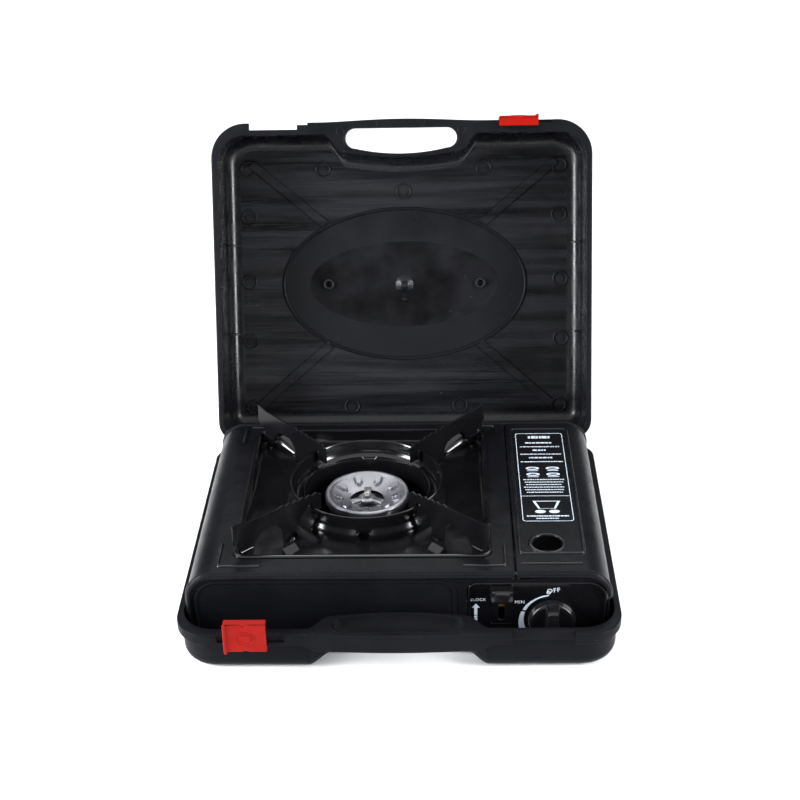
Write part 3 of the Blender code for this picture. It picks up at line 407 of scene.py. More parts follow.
CERAMIC = Finish("ceramic", (0.80, 0.79, 0.75), (0.86, 0.85, 0.82), 0.25, 0.05)
RUBBER = Finish("rubber_black", (0.018, 0.018, 0.018), (0.030, 0.030, 0.030), 0.75, 0.08, depth=0.00005)
PRINT = Finish("white_print", (0.40, 0.47, 0.55), (0.50, 0.56, 0.63), 0.50, 0.05)
PALE_FLOOR = Finish("pale_floor", (0.86, 0.86, 0.86), (0.88, 0.88, 0.88), 0.8, 0.02, specular=0.1, patch=2.0)

PAINTS: dict[str, bpy.types.Material] = {}


def paint(finish: Finish) -> bpy.types.Material:
    """Gives a finish's material, made on its first use.

    Args:
        finish: the finish.

    Returns:
        Its material.
    """
    if finish.name not in PAINTS:
        PAINTS[finish.name] = finish.build()
    return PAINTS[finish.name]


# ---------------------------------------------------------------- curves and outlines
def smooth_step(t: Points) -> Points:
    """Returns 3t^2 - 2t^3 with t held between 0 and 1."""
    t = np.clip(t, 0.0, 1.0)
    return t * t * (3 - 2 * t)


def arc(cx: float, cy: float, radius: float, start: float, end: float, steps: int = 12) -> Points:
    """Returns points of an arc between two angles in degrees, both ends included."""
    angle = np.radians(np.linspace(start, end, steps + 1))
    return np.stack([cx + radius * np.cos(angle), cy + radius * np.sin(angle)], axis=1)


def ellipse(cx: float, cy: float, rx: float, ry: float, sides: int = 48) -> Points:
    """Returns an ellipse as a closed outline: a unit circle, scaled and moved."""
    return arc(0, 0, 1, 0, 360, sides)[:-1] * np.array([rx, ry]) + np.array([cx, cy])


def ring_outline(cx: float, cy: float, radius: float, sides: int = 48) -> Points:
    """Returns a circle as a closed outline without its doubled last point."""
    return arc(cx, cy, radius, 0, 360, sides)[:-1]


def rounded(x0: float, x1: float, y0: float, y1: float, radii: tuple[float, ...], steps: int = 8) -> Points:
    """A rectangle with round corners.

    Args:
        x0: left side.
        x1: right side.
        y0: lower side.
        y1: upper side.
        radii: radii of the lower left, lower right, upper right and upper left corners, or one for all.
        steps: pieces in each corner's arc.

    Returns:
        Its outline, counterclockwise from the lower left corner.
    """
    a, b, c, d = radii * 4 if len(radii) == 1 else radii
    return np.concatenate(
        [
            arc(x0 + a, y0 + a, a, 180, 270, steps),
            arc(x1 - b, y0 + b, b, 270, 360, steps),
            arc(x1 - c, y1 - c, c, 0, 90, steps),
            arc(x0 + d, y1 - d, d, 90, 180, steps),
        ]
    )


def between(start: Points, end: Points, count: int) -> Points:
    """Returns count points spread evenly between two others, both left out."""
    t = np.linspace(0, 1, count + 2)[1:-1, None]
    return start * (1 - t) + end * t


def soften(path: list[tuple[float, float]], reach: float, steps: int = 4, closed: bool = True) -> Points:
    """Rounds the corners of a path.

    Each corner C becomes the parabola (1-t)^2 A + 2t(1-t) C + t^2 B, where A and B lie on its two sides,
    at the reach or at 0.45 of the side where that is shorter.

    Args:
        path: the corners.
        reach: how far from its corner a rounding starts.
        steps: pieces in each rounding.
        closed: whether the last corner is joined to the first.

    Returns:
        The rounded path.
    """
    corners = np.asarray(path, dtype=float)
    before, after = np.roll(corners, 1, axis=0), np.roll(corners, -1, axis=0)
    ends = []
    for other in (before, after):
        side = other - corners
        length = np.linalg.norm(side, axis=1, keepdims=True)
        ends.append(corners + side * np.minimum(reach / np.maximum(length, 1e-9), 0.45))
    t = np.linspace(0, 1, steps + 1)[None, :, None]
    turned_in = (1 - t) ** 2 * ends[0][:, None] + 2 * t * (1 - t) * corners[:, None] + t**2 * ends[1][:, None]
    if closed:
        return turned_in.reshape(-1, 2)
    return np.concatenate([corners[:1], turned_in[1:-1].reshape(-1, 2), corners[-1:]])


def normals_of(loop: Points, closed: bool = True) -> Points:
    """Works out the mitred left-hand normals of a path's points, from its two neighbouring sides.

    Args:
        loop: the path's points.
        closed: whether its last point is joined to the first.

    Returns:
        One normal for each point, longer at a corner, so that an offset path keeps its distance.
    """
    before, after = np.roll(loop, 1, axis=0), np.roll(loop, -1, axis=0)
    if not closed:
        before[0], after[-1] = 2 * loop[0] - loop[1], 2 * loop[-1] - loop[-2]
    first, second = loop - before, after - loop
    first /= np.maximum(np.linalg.norm(first, axis=1, keepdims=True), 1e-12)
    second /= np.maximum(np.linalg.norm(second, axis=1, keepdims=True), 1e-12)
    mean = first + second
    mean /= np.maximum(np.linalg.norm(mean, axis=1, keepdims=True), 1e-12)
    stretch = 1 / np.maximum((mean * second).sum(axis=1, keepdims=True), 0.5)
    return np.stack([-mean[:, 1], mean[:, 0]], axis=1) * stretch


def area_of(loop: Points) -> float:
    """Returns the signed area of an outline, positive when it is counterclockwise."""
    after = np.roll(loop, -1, axis=0)
    return float((loop[:, 0] * after[:, 1] - after[:, 0] * loop[:, 1]).sum() / 2)


# ---------------------------------------------------------------- meshes
class Skin:
    """Surfaces gathered into one mesh."""

    def __init__(self) -> None:
        """Starts an empty skin."""
        self.points: list[Points] = []
        self.faces: list[tuple[Points, int]] = []
        self.count = 0

    def add(self, points: Points, faces: Points, slot: int = 0) -> None:
        """Adds points and the faces between them.

        Args:
            points: the points, three numbers each.
            faces: rows of point numbers, counted from the first of these points.
            slot: which of the mesh's materials they take.
        """
        self.points.append(np.asarray(points, dtype=float).reshape(-1, 3))
        self.faces.append((np.asarray(faces) + self.count, slot))
        self.count += len(self.points[-1])

    def grid(self, rows: Points, around: bool = True, along: bool = False, slot: int = 0) -> "Skin":
        """Adds a grid of points as four-sided faces.

        Args:
            rows: array of rows x columns x 3.
            around: whether each row closes on itself.
            along: whether the last row is joined to the first.
            slot: its material slot.

        Returns:
            The skin itself.
        """
        m, n = rows.shape[:2]
        i = np.arange(m if along else m - 1)[:, None]
        j = np.arange(n if around else n - 1)[None, :]
        below, above = i * n, (i + 1) % m * n
        right = (j + 1) % n
        quads = np.stack(np.broadcast_arrays(below + j, below + right, above + right, above + j), axis=-1)
        self.add(rows, quads.reshape(-1, 4), slot)
        return self

    def lids(self, rows: Points, slot: int = 0) -> "Skin":
        """Closes the two ends of a grid with flat faces.

        Args:
            rows: the grid.
            slot: which of the mesh's materials they take.

        Returns:
            The skin itself.
        """
        for ring in (rows[0], rows[-1]):
            self.add(ring, np.arange(len(ring))[None], slot)
        return self

    def turned(
        self, profile: Points, centre: tuple, steps: int = 96, toward: str = "Z", slot: int = 0
    ) -> "Skin":
        """Adds a turned shape.

        A point at radius r and height h goes to (r cos a, r sin a, h) for each angle a of the turn.

        Args:
            profile: closed outline of (radius, height), or one that starts and ends on the axis.
            centre: where height 0 lies.
            steps: pieces round the turn.
            toward: Z for upwards, or -Y for towards the front.
            slot: its material slot.

        Returns:
            The skin itself.
        """
        profile = np.asarray(profile, dtype=float)
        angle = np.linspace(0, 2 * np.pi, steps, endpoint=False)[None, :]
        r, h = profile[:, :1], profile[:, 1:]
        x, y, z = r * np.cos(angle), r * np.sin(angle), h + 0 * angle
        rows = np.stack([x, y, z] if toward == "Z" else [x, -z, y], axis=-1) + np.asarray(centre)
        on_axis = profile[0, 0] == 0 and profile[-1, 0] == 0
        return self.grid(rows, along=not on_axis, slot=slot)

    def plate(
        self, outline: Points, low: float, high: float, plane: Plane = Plane.XY, holes: tuple = (),
        edge: float = 0.0, slot: int = 0,
    ) -> "Skin":
        """Adds a flat piece of even thickness with chamfered edges.

        Args:
            outline: its outer outline.
            low: one face's place along the thickness.
            high: the other face's place.
            plane: the plane of the outline.
            holes: outlines of its holes.
            edge: width of the chamfer.
            slot: its material slot.

        Returns:
            The skin itself.
        """
        loops = []
        for index, loop in enumerate((outline, *holes)):
            loop = np.asarray(loop, dtype=float)
            turn = area_of(loop) > 0
            loops.append(loop if turn == (index == 0) else loop[::-1])
        insets = [loop + normals_of(loop) * edge for loop in loops]
        order = np.argsort(plane.value)
        levels = [(insets, low), (loops, low + edge), (loops, high - edge), (insets, high)]
        if not edge:
            levels = [(loops, low), (loops, high)]
        for k, loop in enumerate(loops):
            rows = np.stack([np.c_[group[k], np.full(len(loop), at)] for group, at in levels])
            self.grid(rows[..., order], slot=slot)
        for group, at in (levels[0], levels[-1]):
            flat = tessellate_polygon([[Vector((u, v, 0)) for u, v in loop] for loop in group])
            points = np.concatenate(group)
            points = np.c_[points, np.full(len(points), at)][:, order]
            self.add(points, np.array(flat), slot)
        return self

    def bead(
        self, path: Points, wide: float, tall: float, base: float, plane: Plane = Plane.XY,
        closed: bool = False, up: float = 1.0, slot: int = 0,
    ) -> "Skin":
        """Adds a pressed ridge: half an ellipse carried along a flat path.

        Args:
            path: the ridge's middle line in its plane.
            wide: width of the ridge.
            tall: its height above the sheet.
            base: the sheet's place along the plane's normal.
            plane: the plane of the sheet.
            closed: whether the path closes on itself.
            up: 1 or -1, the side of the sheet that the ridge stands on.
            slot: its material slot.

        Returns:
            The skin itself.
        """
        angle = np.radians(np.linspace(0, 180, 9))
        across = np.concatenate([np.cos(angle) * wide / 2, [-wide / 2, wide / 2]])
        height = np.concatenate([np.sin(angle) * tall, [-tall * 0.5, -tall * 0.5]])
        side = normals_of(path, closed)
        flat = path[:, None, :] + side[:, None, :] * across[None, :, None]
        level = np.broadcast_to(base + up * height, flat.shape[:2])[..., None]
        rows = np.concatenate([flat, level], axis=2)[..., np.argsort(plane.value)]
        self.grid(rows, along=closed, slot=slot)
        return self if closed else self.lids(rows, slot)

    def block(self, low: tuple, high: tuple, edge: float = 0.0, slot: int = 0) -> "Skin":
        """Adds a box between two corners with chamfered edges."""
        outline = rounded(low[0], high[0], low[1], high[1], (max(edge, 1e-4),), 2)
        return self.plate(outline, low[2], high[2], edge=edge, slot=slot)

    def merge(self, other: "Skin") -> None:
        """Takes in another skin's surfaces.

        Args:
            other: the other skin.
        """
        self.faces += [(faces + self.count, slot) for faces, slot in other.faces]
        self.points += other.points
        self.count += other.count

    def move(self, matrix: Matrix) -> "Skin":
        """Moves everything gathered so far.

        Args:
            matrix: a 4 x 4 matrix.

        Returns:
            The skin itself.
        """
        m = np.array(matrix)
        self.points = [p @ m[:3, :3].T + m[:3, 3] for p in self.points]
        return self

    def build(self, name: str, *finishes: Finish, smooth: float = 35.0) -> bpy.types.Object:
        """Makes the mesh object, with doubled points merged and faces turned outwards.

        Args:
            name: the piece's name.
            *finishes: its materials, in the order of the slots.
            smooth: edges sharper than this many degrees stay sharp.

        Returns:
            The object, linked to the scene.
        """
        mesh = bpy.data.meshes.new(name)
        faces = [face for group, _ in self.faces for face in group.tolist()]
        mesh.from_pydata(np.concatenate(self.points).tolist(), [], faces)
        slots = np.concatenate([np.full(len(group), slot, dtype=np.int32) for group, slot in self.faces])
        mesh.polygons.foreach_set("material_index", slots)
        bm = bmesh.new()
        bm.from_mesh(mesh)
        bmesh.ops.remove_doubles(bm, verts=bm.verts[:], dist=1e-6)
        bmesh.ops.dissolve_degenerate(bm, edges=bm.edges[:], dist=1e-7)
        bmesh.ops.recalc_face_normals(bm, faces=bm.faces[:])
        bm.to_mesh(mesh)
        bm.free()
        made = stand(name, mesh)
        for finish in finishes:
            mesh.materials.append(paint(finish))
        shade(mesh, smooth)
        return made


def stand(name: str, data: bpy.types.ID) -> bpy.types.Object:
    """Makes an object and links it to the scene.

    Args:
        name: its name.
        data: its mesh, curve, light or camera.

    Returns:
        The object.
    """
    made = bpy.data.objects.new(name, data)
    bpy.context.scene.collection.objects.link(made)
    return made


def discard(helper: bpy.types.Object) -> None:
    """Removes a helper object, and its mesh or curve with it."""
    bpy.data.batch_remove([helper, helper.data])


def applied(piece: bpy.types.Object) -> bpy.types.Mesh:
    """Makes a mesh of an object with its modifiers applied.

    Args:
        piece: a mesh or text object.

    Returns:
        The new mesh.
    """
    graph = bpy.context.evaluated_depsgraph_get()
    graph.update()
    return bpy.data.meshes.new_from_object(piece.evaluated_get(graph))


def spin(degrees: float, axis: str = "Z") -> Matrix:
    """Returns the matrix of a turn about an axis."""
    return Matrix.Rotation(math.radians(degrees), 4, axis)


def shade(mesh: bpy.types.Mesh, angle: float) -> None:
    """Shades a mesh smooth, with edges sharper than the angle left sharp."""
    mesh.shade_smooth()
    mesh.set_sharp_from_angle(angle=math.radians(angle))


def settle(piece: bpy.types.Object, smooth: float = 35.0) -> bpy.types.Object:
    """Applies a piece's modifiers to its mesh and shades it again.

    Args:
        piece: the piece.
        smooth: edges sharper than this many degrees stay sharp.

    Returns:
        The piece.
    """
    mesh, old = applied(piece), piece.data
    piece.modifiers.clear()
    piece.data = mesh
    bpy.data.meshes.remove(old)
    shade(mesh, smooth)
    return piece


def carve(piece: bpy.types.Object, *cutters: Skin, edge: float = 0.0) -> bpy.types.Object:
    """Cuts shapes out of a piece.

    Args:
        piece: the piece.
        *cutters: closed skins to cut with.
        edge: width of the rounding on every sharp edge afterwards, or 0.

    Returns:
        The piece, with its cuts applied.
    """
    helpers = []
    for index, cutter in enumerate(cutters):
        helper = cutter.build(f"{piece.name}_cut_{index}")
        step = piece.modifiers.new(helper.name, "BOOLEAN")
        step.operation = "DIFFERENCE"
        step.object = helper
        step.solver = "EXACT"
        helpers.append(helper)
    if edge:
        step = piece.modifiers.new("edge", "BEVEL")
        step.width = edge
        step.segments = 2
        step.limit_method = "ANGLE"
        step.angle_limit = math.radians(50)
        step.use_clamp_overlap = True
    settle(piece)
    for helper in helpers:
        discard(helper)
    return piece


def thicken(piece: bpy.types.Object, thickness: float) -> bpy.types.Object:
    """Gives an open sheet its thickness on the side away from its normals.

    Args:
        piece: the sheet.
        thickness: its thickness.

    Returns:
        The piece, as a closed shell.
    """
    step = piece.modifiers.new("sheet", "SOLIDIFY")
    step.thickness = thickness
    step.offset = -1.0
    step.use_even_offset = True
    return settle(piece)


def hand_over(piece: bpy.types.Object, body: str, slot: Slot, *nodes: str) -> bpy.types.Object:
    """Lets a piece ride on a body and stand for its plain nodes.

    Args:
        piece: the finished piece.
        body: the body that it moves with.
        slot: the record's slot of the piece; not used.
        *nodes: the plain nodes that it stands for.

    Returns:
        The piece.
    """
    if nodes:
        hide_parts(*nodes)
    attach(piece, body)
    LOG.info("%s: %d faces on %s", piece.name, len(piece.data.polygons), body)
    return piece


def joint(name: str) -> dict:
    """Returns a joint of the record by its name."""
    return next(entry for entry in frame["record"]["behaviour"]["joints"] if entry["name"] == name)


def middle(node: str) -> Vector:
    """Returns the middle of a node's box."""
    low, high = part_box(node)
    return (Vector(low) + Vector(high)) / 2


# ---------------------------------------------------------------- carrying case
@dataclass
class CaseHalf:
    """What the case's two halves share: the outline of their rim and wall, with the bay behind the grip."""

    depth: float
    fillet: float
    width: float = 0.362
    front: float = -0.155
    rear: float = 0.1515
    wall: float = 0.0025
    rim_side: float = 0.003
    rim_front: float = 0.009
    rim_tall: float = 0.009
    rim_round: float = 0.0013
    corner_front: float = 0.033
    corner_rear: float = 0.020
    grip_bow: float = 0.0025
    grip_bar: float = 0.0085
    grip_extra: float = 0.006
    hole_half: float = 0.053
    hole_depth: float = 0.024
    hole_sag: float = 0.005
    bay_blend: float = 0.018
    bay_margin: float = 0.0008
    hinge_x: float = 0.105
    knuckle_long: float = 0.009
    knuckle_radius: float = 0.0038
    pin_radius: float = 0.0018
    play: float = 0.0006
    oval_y: float = 0.0028

    @property
    def hole_front(self) -> float:
        """Where the handle hole starts, behind the grip."""
        return self.front - self.grip_bow + self.grip_bar

    @property
    def bay_half(self) -> float:
        """Half the width of the bay's straight part."""
        return self.hole_half + self.wall

    @property
    def reach(self) -> float:
        """How far to each side the grip changes the front edge."""
        return self.bay_half + self.bay_blend + 0.006

    def bay(self, x: Points) -> Points:
        """Works out how far the wall stands back: a flat arch with S-shaped ends.

        Args:
            x: places along the front.

        Returns:
            The distance at each place.
        """
        depth = self.hole_front + self.hole_depth + self.bay_margin - self.front - self.rim_front
        swell = self.hole_sag * np.minimum(np.abs(x) / self.bay_half, 1.0) ** 2
        return (depth - swell) * smooth_step((self.bay_half + self.bay_blend - np.abs(x)) / self.bay_blend)

    def ring(self, inset: float, z: float, on_wall: bool, dropped: bool = False) -> Points:
        """One ring round the half.

        Args:
            inset: how far inside the rim's or the wall's outline it lies.
            z: its height.
            on_wall: whether it follows the wall and its bay, or the rim and the bow of its grip.
            dropped: whether it goes down along the grip, where the rim is taller.

        Returns:
            Its points, counterclockwise from the left end of the front side.
        """
        margin = self.rim_side if on_wall else 0.0
        half = self.width / 2 - margin - inset
        front = self.front + (self.rim_front if on_wall else 0.0) + inset
        rear = self.rear - margin - inset
        near, far = self.corner_front - margin - inset, self.corner_rear - margin - inset
        x = np.linspace(-self.reach, self.reach, 121)
        bow = self.grip_bow * (1 - np.minimum(np.abs(x) / self.reach, 1.0) ** 2) ** 2
        edge = np.stack([x, front + (self.bay(x) if on_wall else -bow)], axis=1)
        corners = [
            arc(-half + near, front + near, near, 180, 270, 16),
            arc(half - near, front + near, near, 270, 360, 16),
            arc(half - far, rear - far, far, 0, 90, 12),
            arc(-half + far, rear - far, far, 90, 180, 12),
        ]
        stretches = [corners[0], edge, *corners[1:]]
        flat = []
        for index, count in enumerate((10, 10, 40, 56, 40)):
            after = stretches[(index + 1) % 5]
            flat += [stretches[index], between(stretches[index][-1], after[0], count)]
        flat = np.concatenate(flat)
        drop = self.grip_extra * smooth_step((self.reach - np.abs(flat[:, 0])) / self.bay_blend)
        level = z - (drop * (flat[:, 1] < 0) if dropped else 0.0)
        return np.c_[flat, np.broadcast_to(level, len(flat))]

    def shell(self) -> tuple[Points, Points]:
        """The half's skin from the edge of its outer floor, round the rim, to the edge of its inner floor.

        Returns:
            The rings, as an array of rings x points x 3, and the last of them by itself.
        """
        turn = np.radians(np.linspace(0, 90, 9))
        bend = self.fillet - self.wall
        r = self.rim_round
        rings = [
            self.ring(self.fillet * (1 - math.sin(a)), self.fillet * (1 - math.cos(a)), True) for a in turn
        ]
        rings += [
            self.ring(0.0, self.depth - self.rim_tall - 0.0008, True, dropped=True),
            self.ring(-0.0008, self.depth - self.rim_tall, True, dropped=True),
            self.ring(0.0006, self.depth - self.rim_tall, False, dropped=True),
            self.ring(0.0, self.depth - self.rim_tall + 0.0006, False, dropped=True),
        ]
        rings += [
            self.ring(r * (1 - math.cos(a)), self.depth - r + r * math.sin(a), False) for a in turn[::2]
        ]
        rings += [
            self.ring(self.wall - 0.0006, self.depth, True),
            self.ring(self.wall, self.depth - 0.0006, True),
        ]
        rings += [
            self.ring(self.wall + bend * (1 - math.cos(a)), self.wall + bend * (1 - math.sin(a)), True)
            for a in turn
        ]
        rings = np.stack(rings)
        return rings, rings[-1]

    def floor(
        self, edge: Points, z: float, ovals: list[tuple[float, float, float]], count: int = 18
    ) -> Points:
        """A floor drawn in from its edge to a middle point over a row of ellipses.

        Each ring is the edge moved towards the next ellipse by an even share, and a point keeps its
        direction from the middle.

        Args:
            edge: the ring that the floor starts from.
            z: height of the floor.
            ovals: half width, half depth and rise of each ellipse, from the outside in.
            count: rings between the edge and the first ellipse.

        Returns:
            The rings, from the edge to the middle.
        """
        centre = np.array([0.0, self.oval_y])
        away = edge[:, :2] - centre
        angle = np.arctan2(away[:, 1], away[:, 0])
        rings, last, rise = [edge], edge[:, :2], 0.0
        for index, (a, b, lift) in enumerate([*ovals, (0.0, 0.0, ovals[-1][2])]):
            size = a * b / np.sqrt((b * np.cos(angle)) ** 2 + (a * np.sin(angle)) ** 2) if a else 0 * angle
            goal = centre + np.stack([np.cos(angle), np.sin(angle)], axis=1) * size[:, None]
            steps = count if index == 0 else 8 if abs(lift - rise) < 1e-9 else 4
            for t in np.linspace(0, 1, steps + 1)[1:]:
                level = z + rise + (lift - rise) * smooth_step(np.array(t))
                rings.append(np.c_[last * (1 - t) + goal * t, np.full(len(edge), level)])
            last, rise = goal, lift
        return np.stack(rings)

    def hole_outline(self) -> Points:
        """Draws the handle hole: straight in front, bowed behind, with round ends.

        Returns:
            Its outline.
        """
        rear = self.hole_front + self.hole_depth
        end = (self.hole_depth - self.hole_sag) / 2
        straight = self.hole_half - end
        x = np.linspace(straight, -straight, 41)
        bowed = np.stack([x, rear - self.hole_sag * (x / straight) ** 2], axis=1)
        return np.concatenate(
            [
                arc(-straight, self.hole_front + end, end, 90, 270, 20)[1:],
                arc(straight, self.hole_front + end, end, -90, 90, 20)[:-1],
                bowed,
            ]
        )

    def hole(self, low: float, high: float) -> Skin:
        """Returns the handle hole as a cutter between two heights."""
        return Skin().plate(self.hole_outline(), low, high)

    def hole_lip(self, skin: Skin, z: float, up: float) -> None:
        """Adds a thin round lip round the handle hole, on the rim's face.

        Args:
            skin: the skin to add it to.
            z: height of the rim's face.
            up: 1 or -1, the way that the lip stands.
        """
        outline = self.hole_outline()
        path = outline - normals_of(outline) * 0.0014
        skin.bead(path, 0.0014, 0.0006, z, closed=True, up=up)

    def barrels(self, offsets: tuple, radius: float, long: float) -> Skin:
        """Makes hinge barrels along the hinge line.

        Args:
            offsets: places along X from each hinge's middle.
            radius: their radius.
            long: their length.

        Returns:
            The barrels of both hinges.
        """
        pivot = joint("lid_hinge")["pos_m"]
        skin = Skin()
        for side in (-1, 1):
            for offset in offsets:
                mid = side * self.hinge_x + offset
                outline = ring_outline(pivot[1], pivot[2], radius, 32)
                skin.plate(outline, mid - long / 2, mid + long / 2, Plane.YZ, edge=0.0004)
        return skin

    def hang(self, piece: bpy.types.Object, mine: tuple, others: tuple) -> None:
        """Gives a half its hinge barrels and clears it round the other half's.

        Args:
            piece: the half's mesh object, shut.
            mine: offsets of its own barrels.
            others: offsets of the other half's barrels.
        """
        clear = self.barrels(others, self.knuckle_radius + self.play, self.knuckle_long + 2 * self.play)
        carve(piece, clear)
        own = self.barrels(mine, self.knuckle_radius, self.knuckle_long)
        join(piece, own.build(f"{piece.name}_barrels", MOULDED))
        carve(piece, self.barrels((0.0,), self.pin_radius, 4 * self.knuckle_long))


def join(piece: bpy.types.Object, *others: bpy.types.Object) -> bpy.types.Object:
    """Adds other objects' faces to a piece, as loose shells, and removes those objects.

    Args:
        piece: the piece.
        *others: the objects to take in.

    Returns:
        The piece.
    """
    bm = bmesh.new()
    bm.from_mesh(piece.data)
    for other in others:
        start = len(bm.faces)
        bm.from_mesh(other.data)
        bm.faces.ensure_lookup_table()
        slots = piece.data.materials
        for material in other.data.materials:
            if material.name not in slots:
                slots.append(material)
        lookup = [slots.find(material.name) for material in other.data.materials]
        for face in bm.faces[start:]:
            face.material_index = lookup[face.material_index]
        discard(other)
    bm.to_mesh(piece.data)
    bm.free()
    return piece


OUTER_BARRELS = (-0.0101, 0.0101)


@dataclass
class CaseBase(CaseHalf):
    """The lower half: a shallow tray with two latch places in its front rim."""

    depth: float = 0.040
    fillet: float = 0.0115
    track: tuple[float, float] = (-0.1445, -0.0905)
    pocket: tuple[float, float] = (0.0917, 0.1420)

    def build(self) -> None:
        """Makes the base with its handle hole, latch cuts, hinge barrels and the marks of its moulding."""
        rings, edge = self.shell()
        skin = Skin().grid(rings)
        skin.grid(self.floor(edge, self.wall, [(0.120, 0.095, 0.0)], 10))
        skin.grid(self.floor(rings[0], 0.0, [(0.120, 0.095, 0.0)], 10))
        piece = skin.build("case_base_shell", MOULDED_BASE)
        low, high = self.depth - self.rim_tall, self.depth + self.rim_tall
        hole = self.hole(low - 2 * self.grip_extra, high)
        lip = self.front - self.grip_bow
        cuts = [
            Skin().block((self.pocket[0], lip, low - 0.0003), (self.pocket[1], self.front + 0.0065, high)),
            Skin().block((self.track[0], lip, low + 0.0035), (self.track[1], self.front + 0.0022, high)),
        ]
        carve(piece, hole, *cuts, edge=0.0005)
        self.hang(piece, OUTER_BARRELS, (0.0,))
        join(piece, self.trim().build("base_trim", MOULDED_BASE))
        hand_over(piece, "case", Slot.CASE, "case_base")

    def trim(self) -> Skin:
        """Makes the small marks of the moulding: stand rings under the feet and ribs on the grip.

        Returns:
            Their skin.
        """
        skin = Skin()
        self.hole_lip(skin, self.depth, 1.0)
        for name in ("front_left", "front_right", "rear_left", "rear_right"):
            foot = middle(f"foot_{name}")
            skin.bead(ring_outline(foot.x, foot.y, 0.0125), 0.0016, 0.0012, self.wall, closed=True)
        for side in (-1, 1):
            x = side * 0.0225
            path = np.array([(x, self.hole_front - 0.0070), (x, self.hole_front - 0.0012)])
            skin.bead(path, 0.0012, 0.00025, self.depth)
        return skin


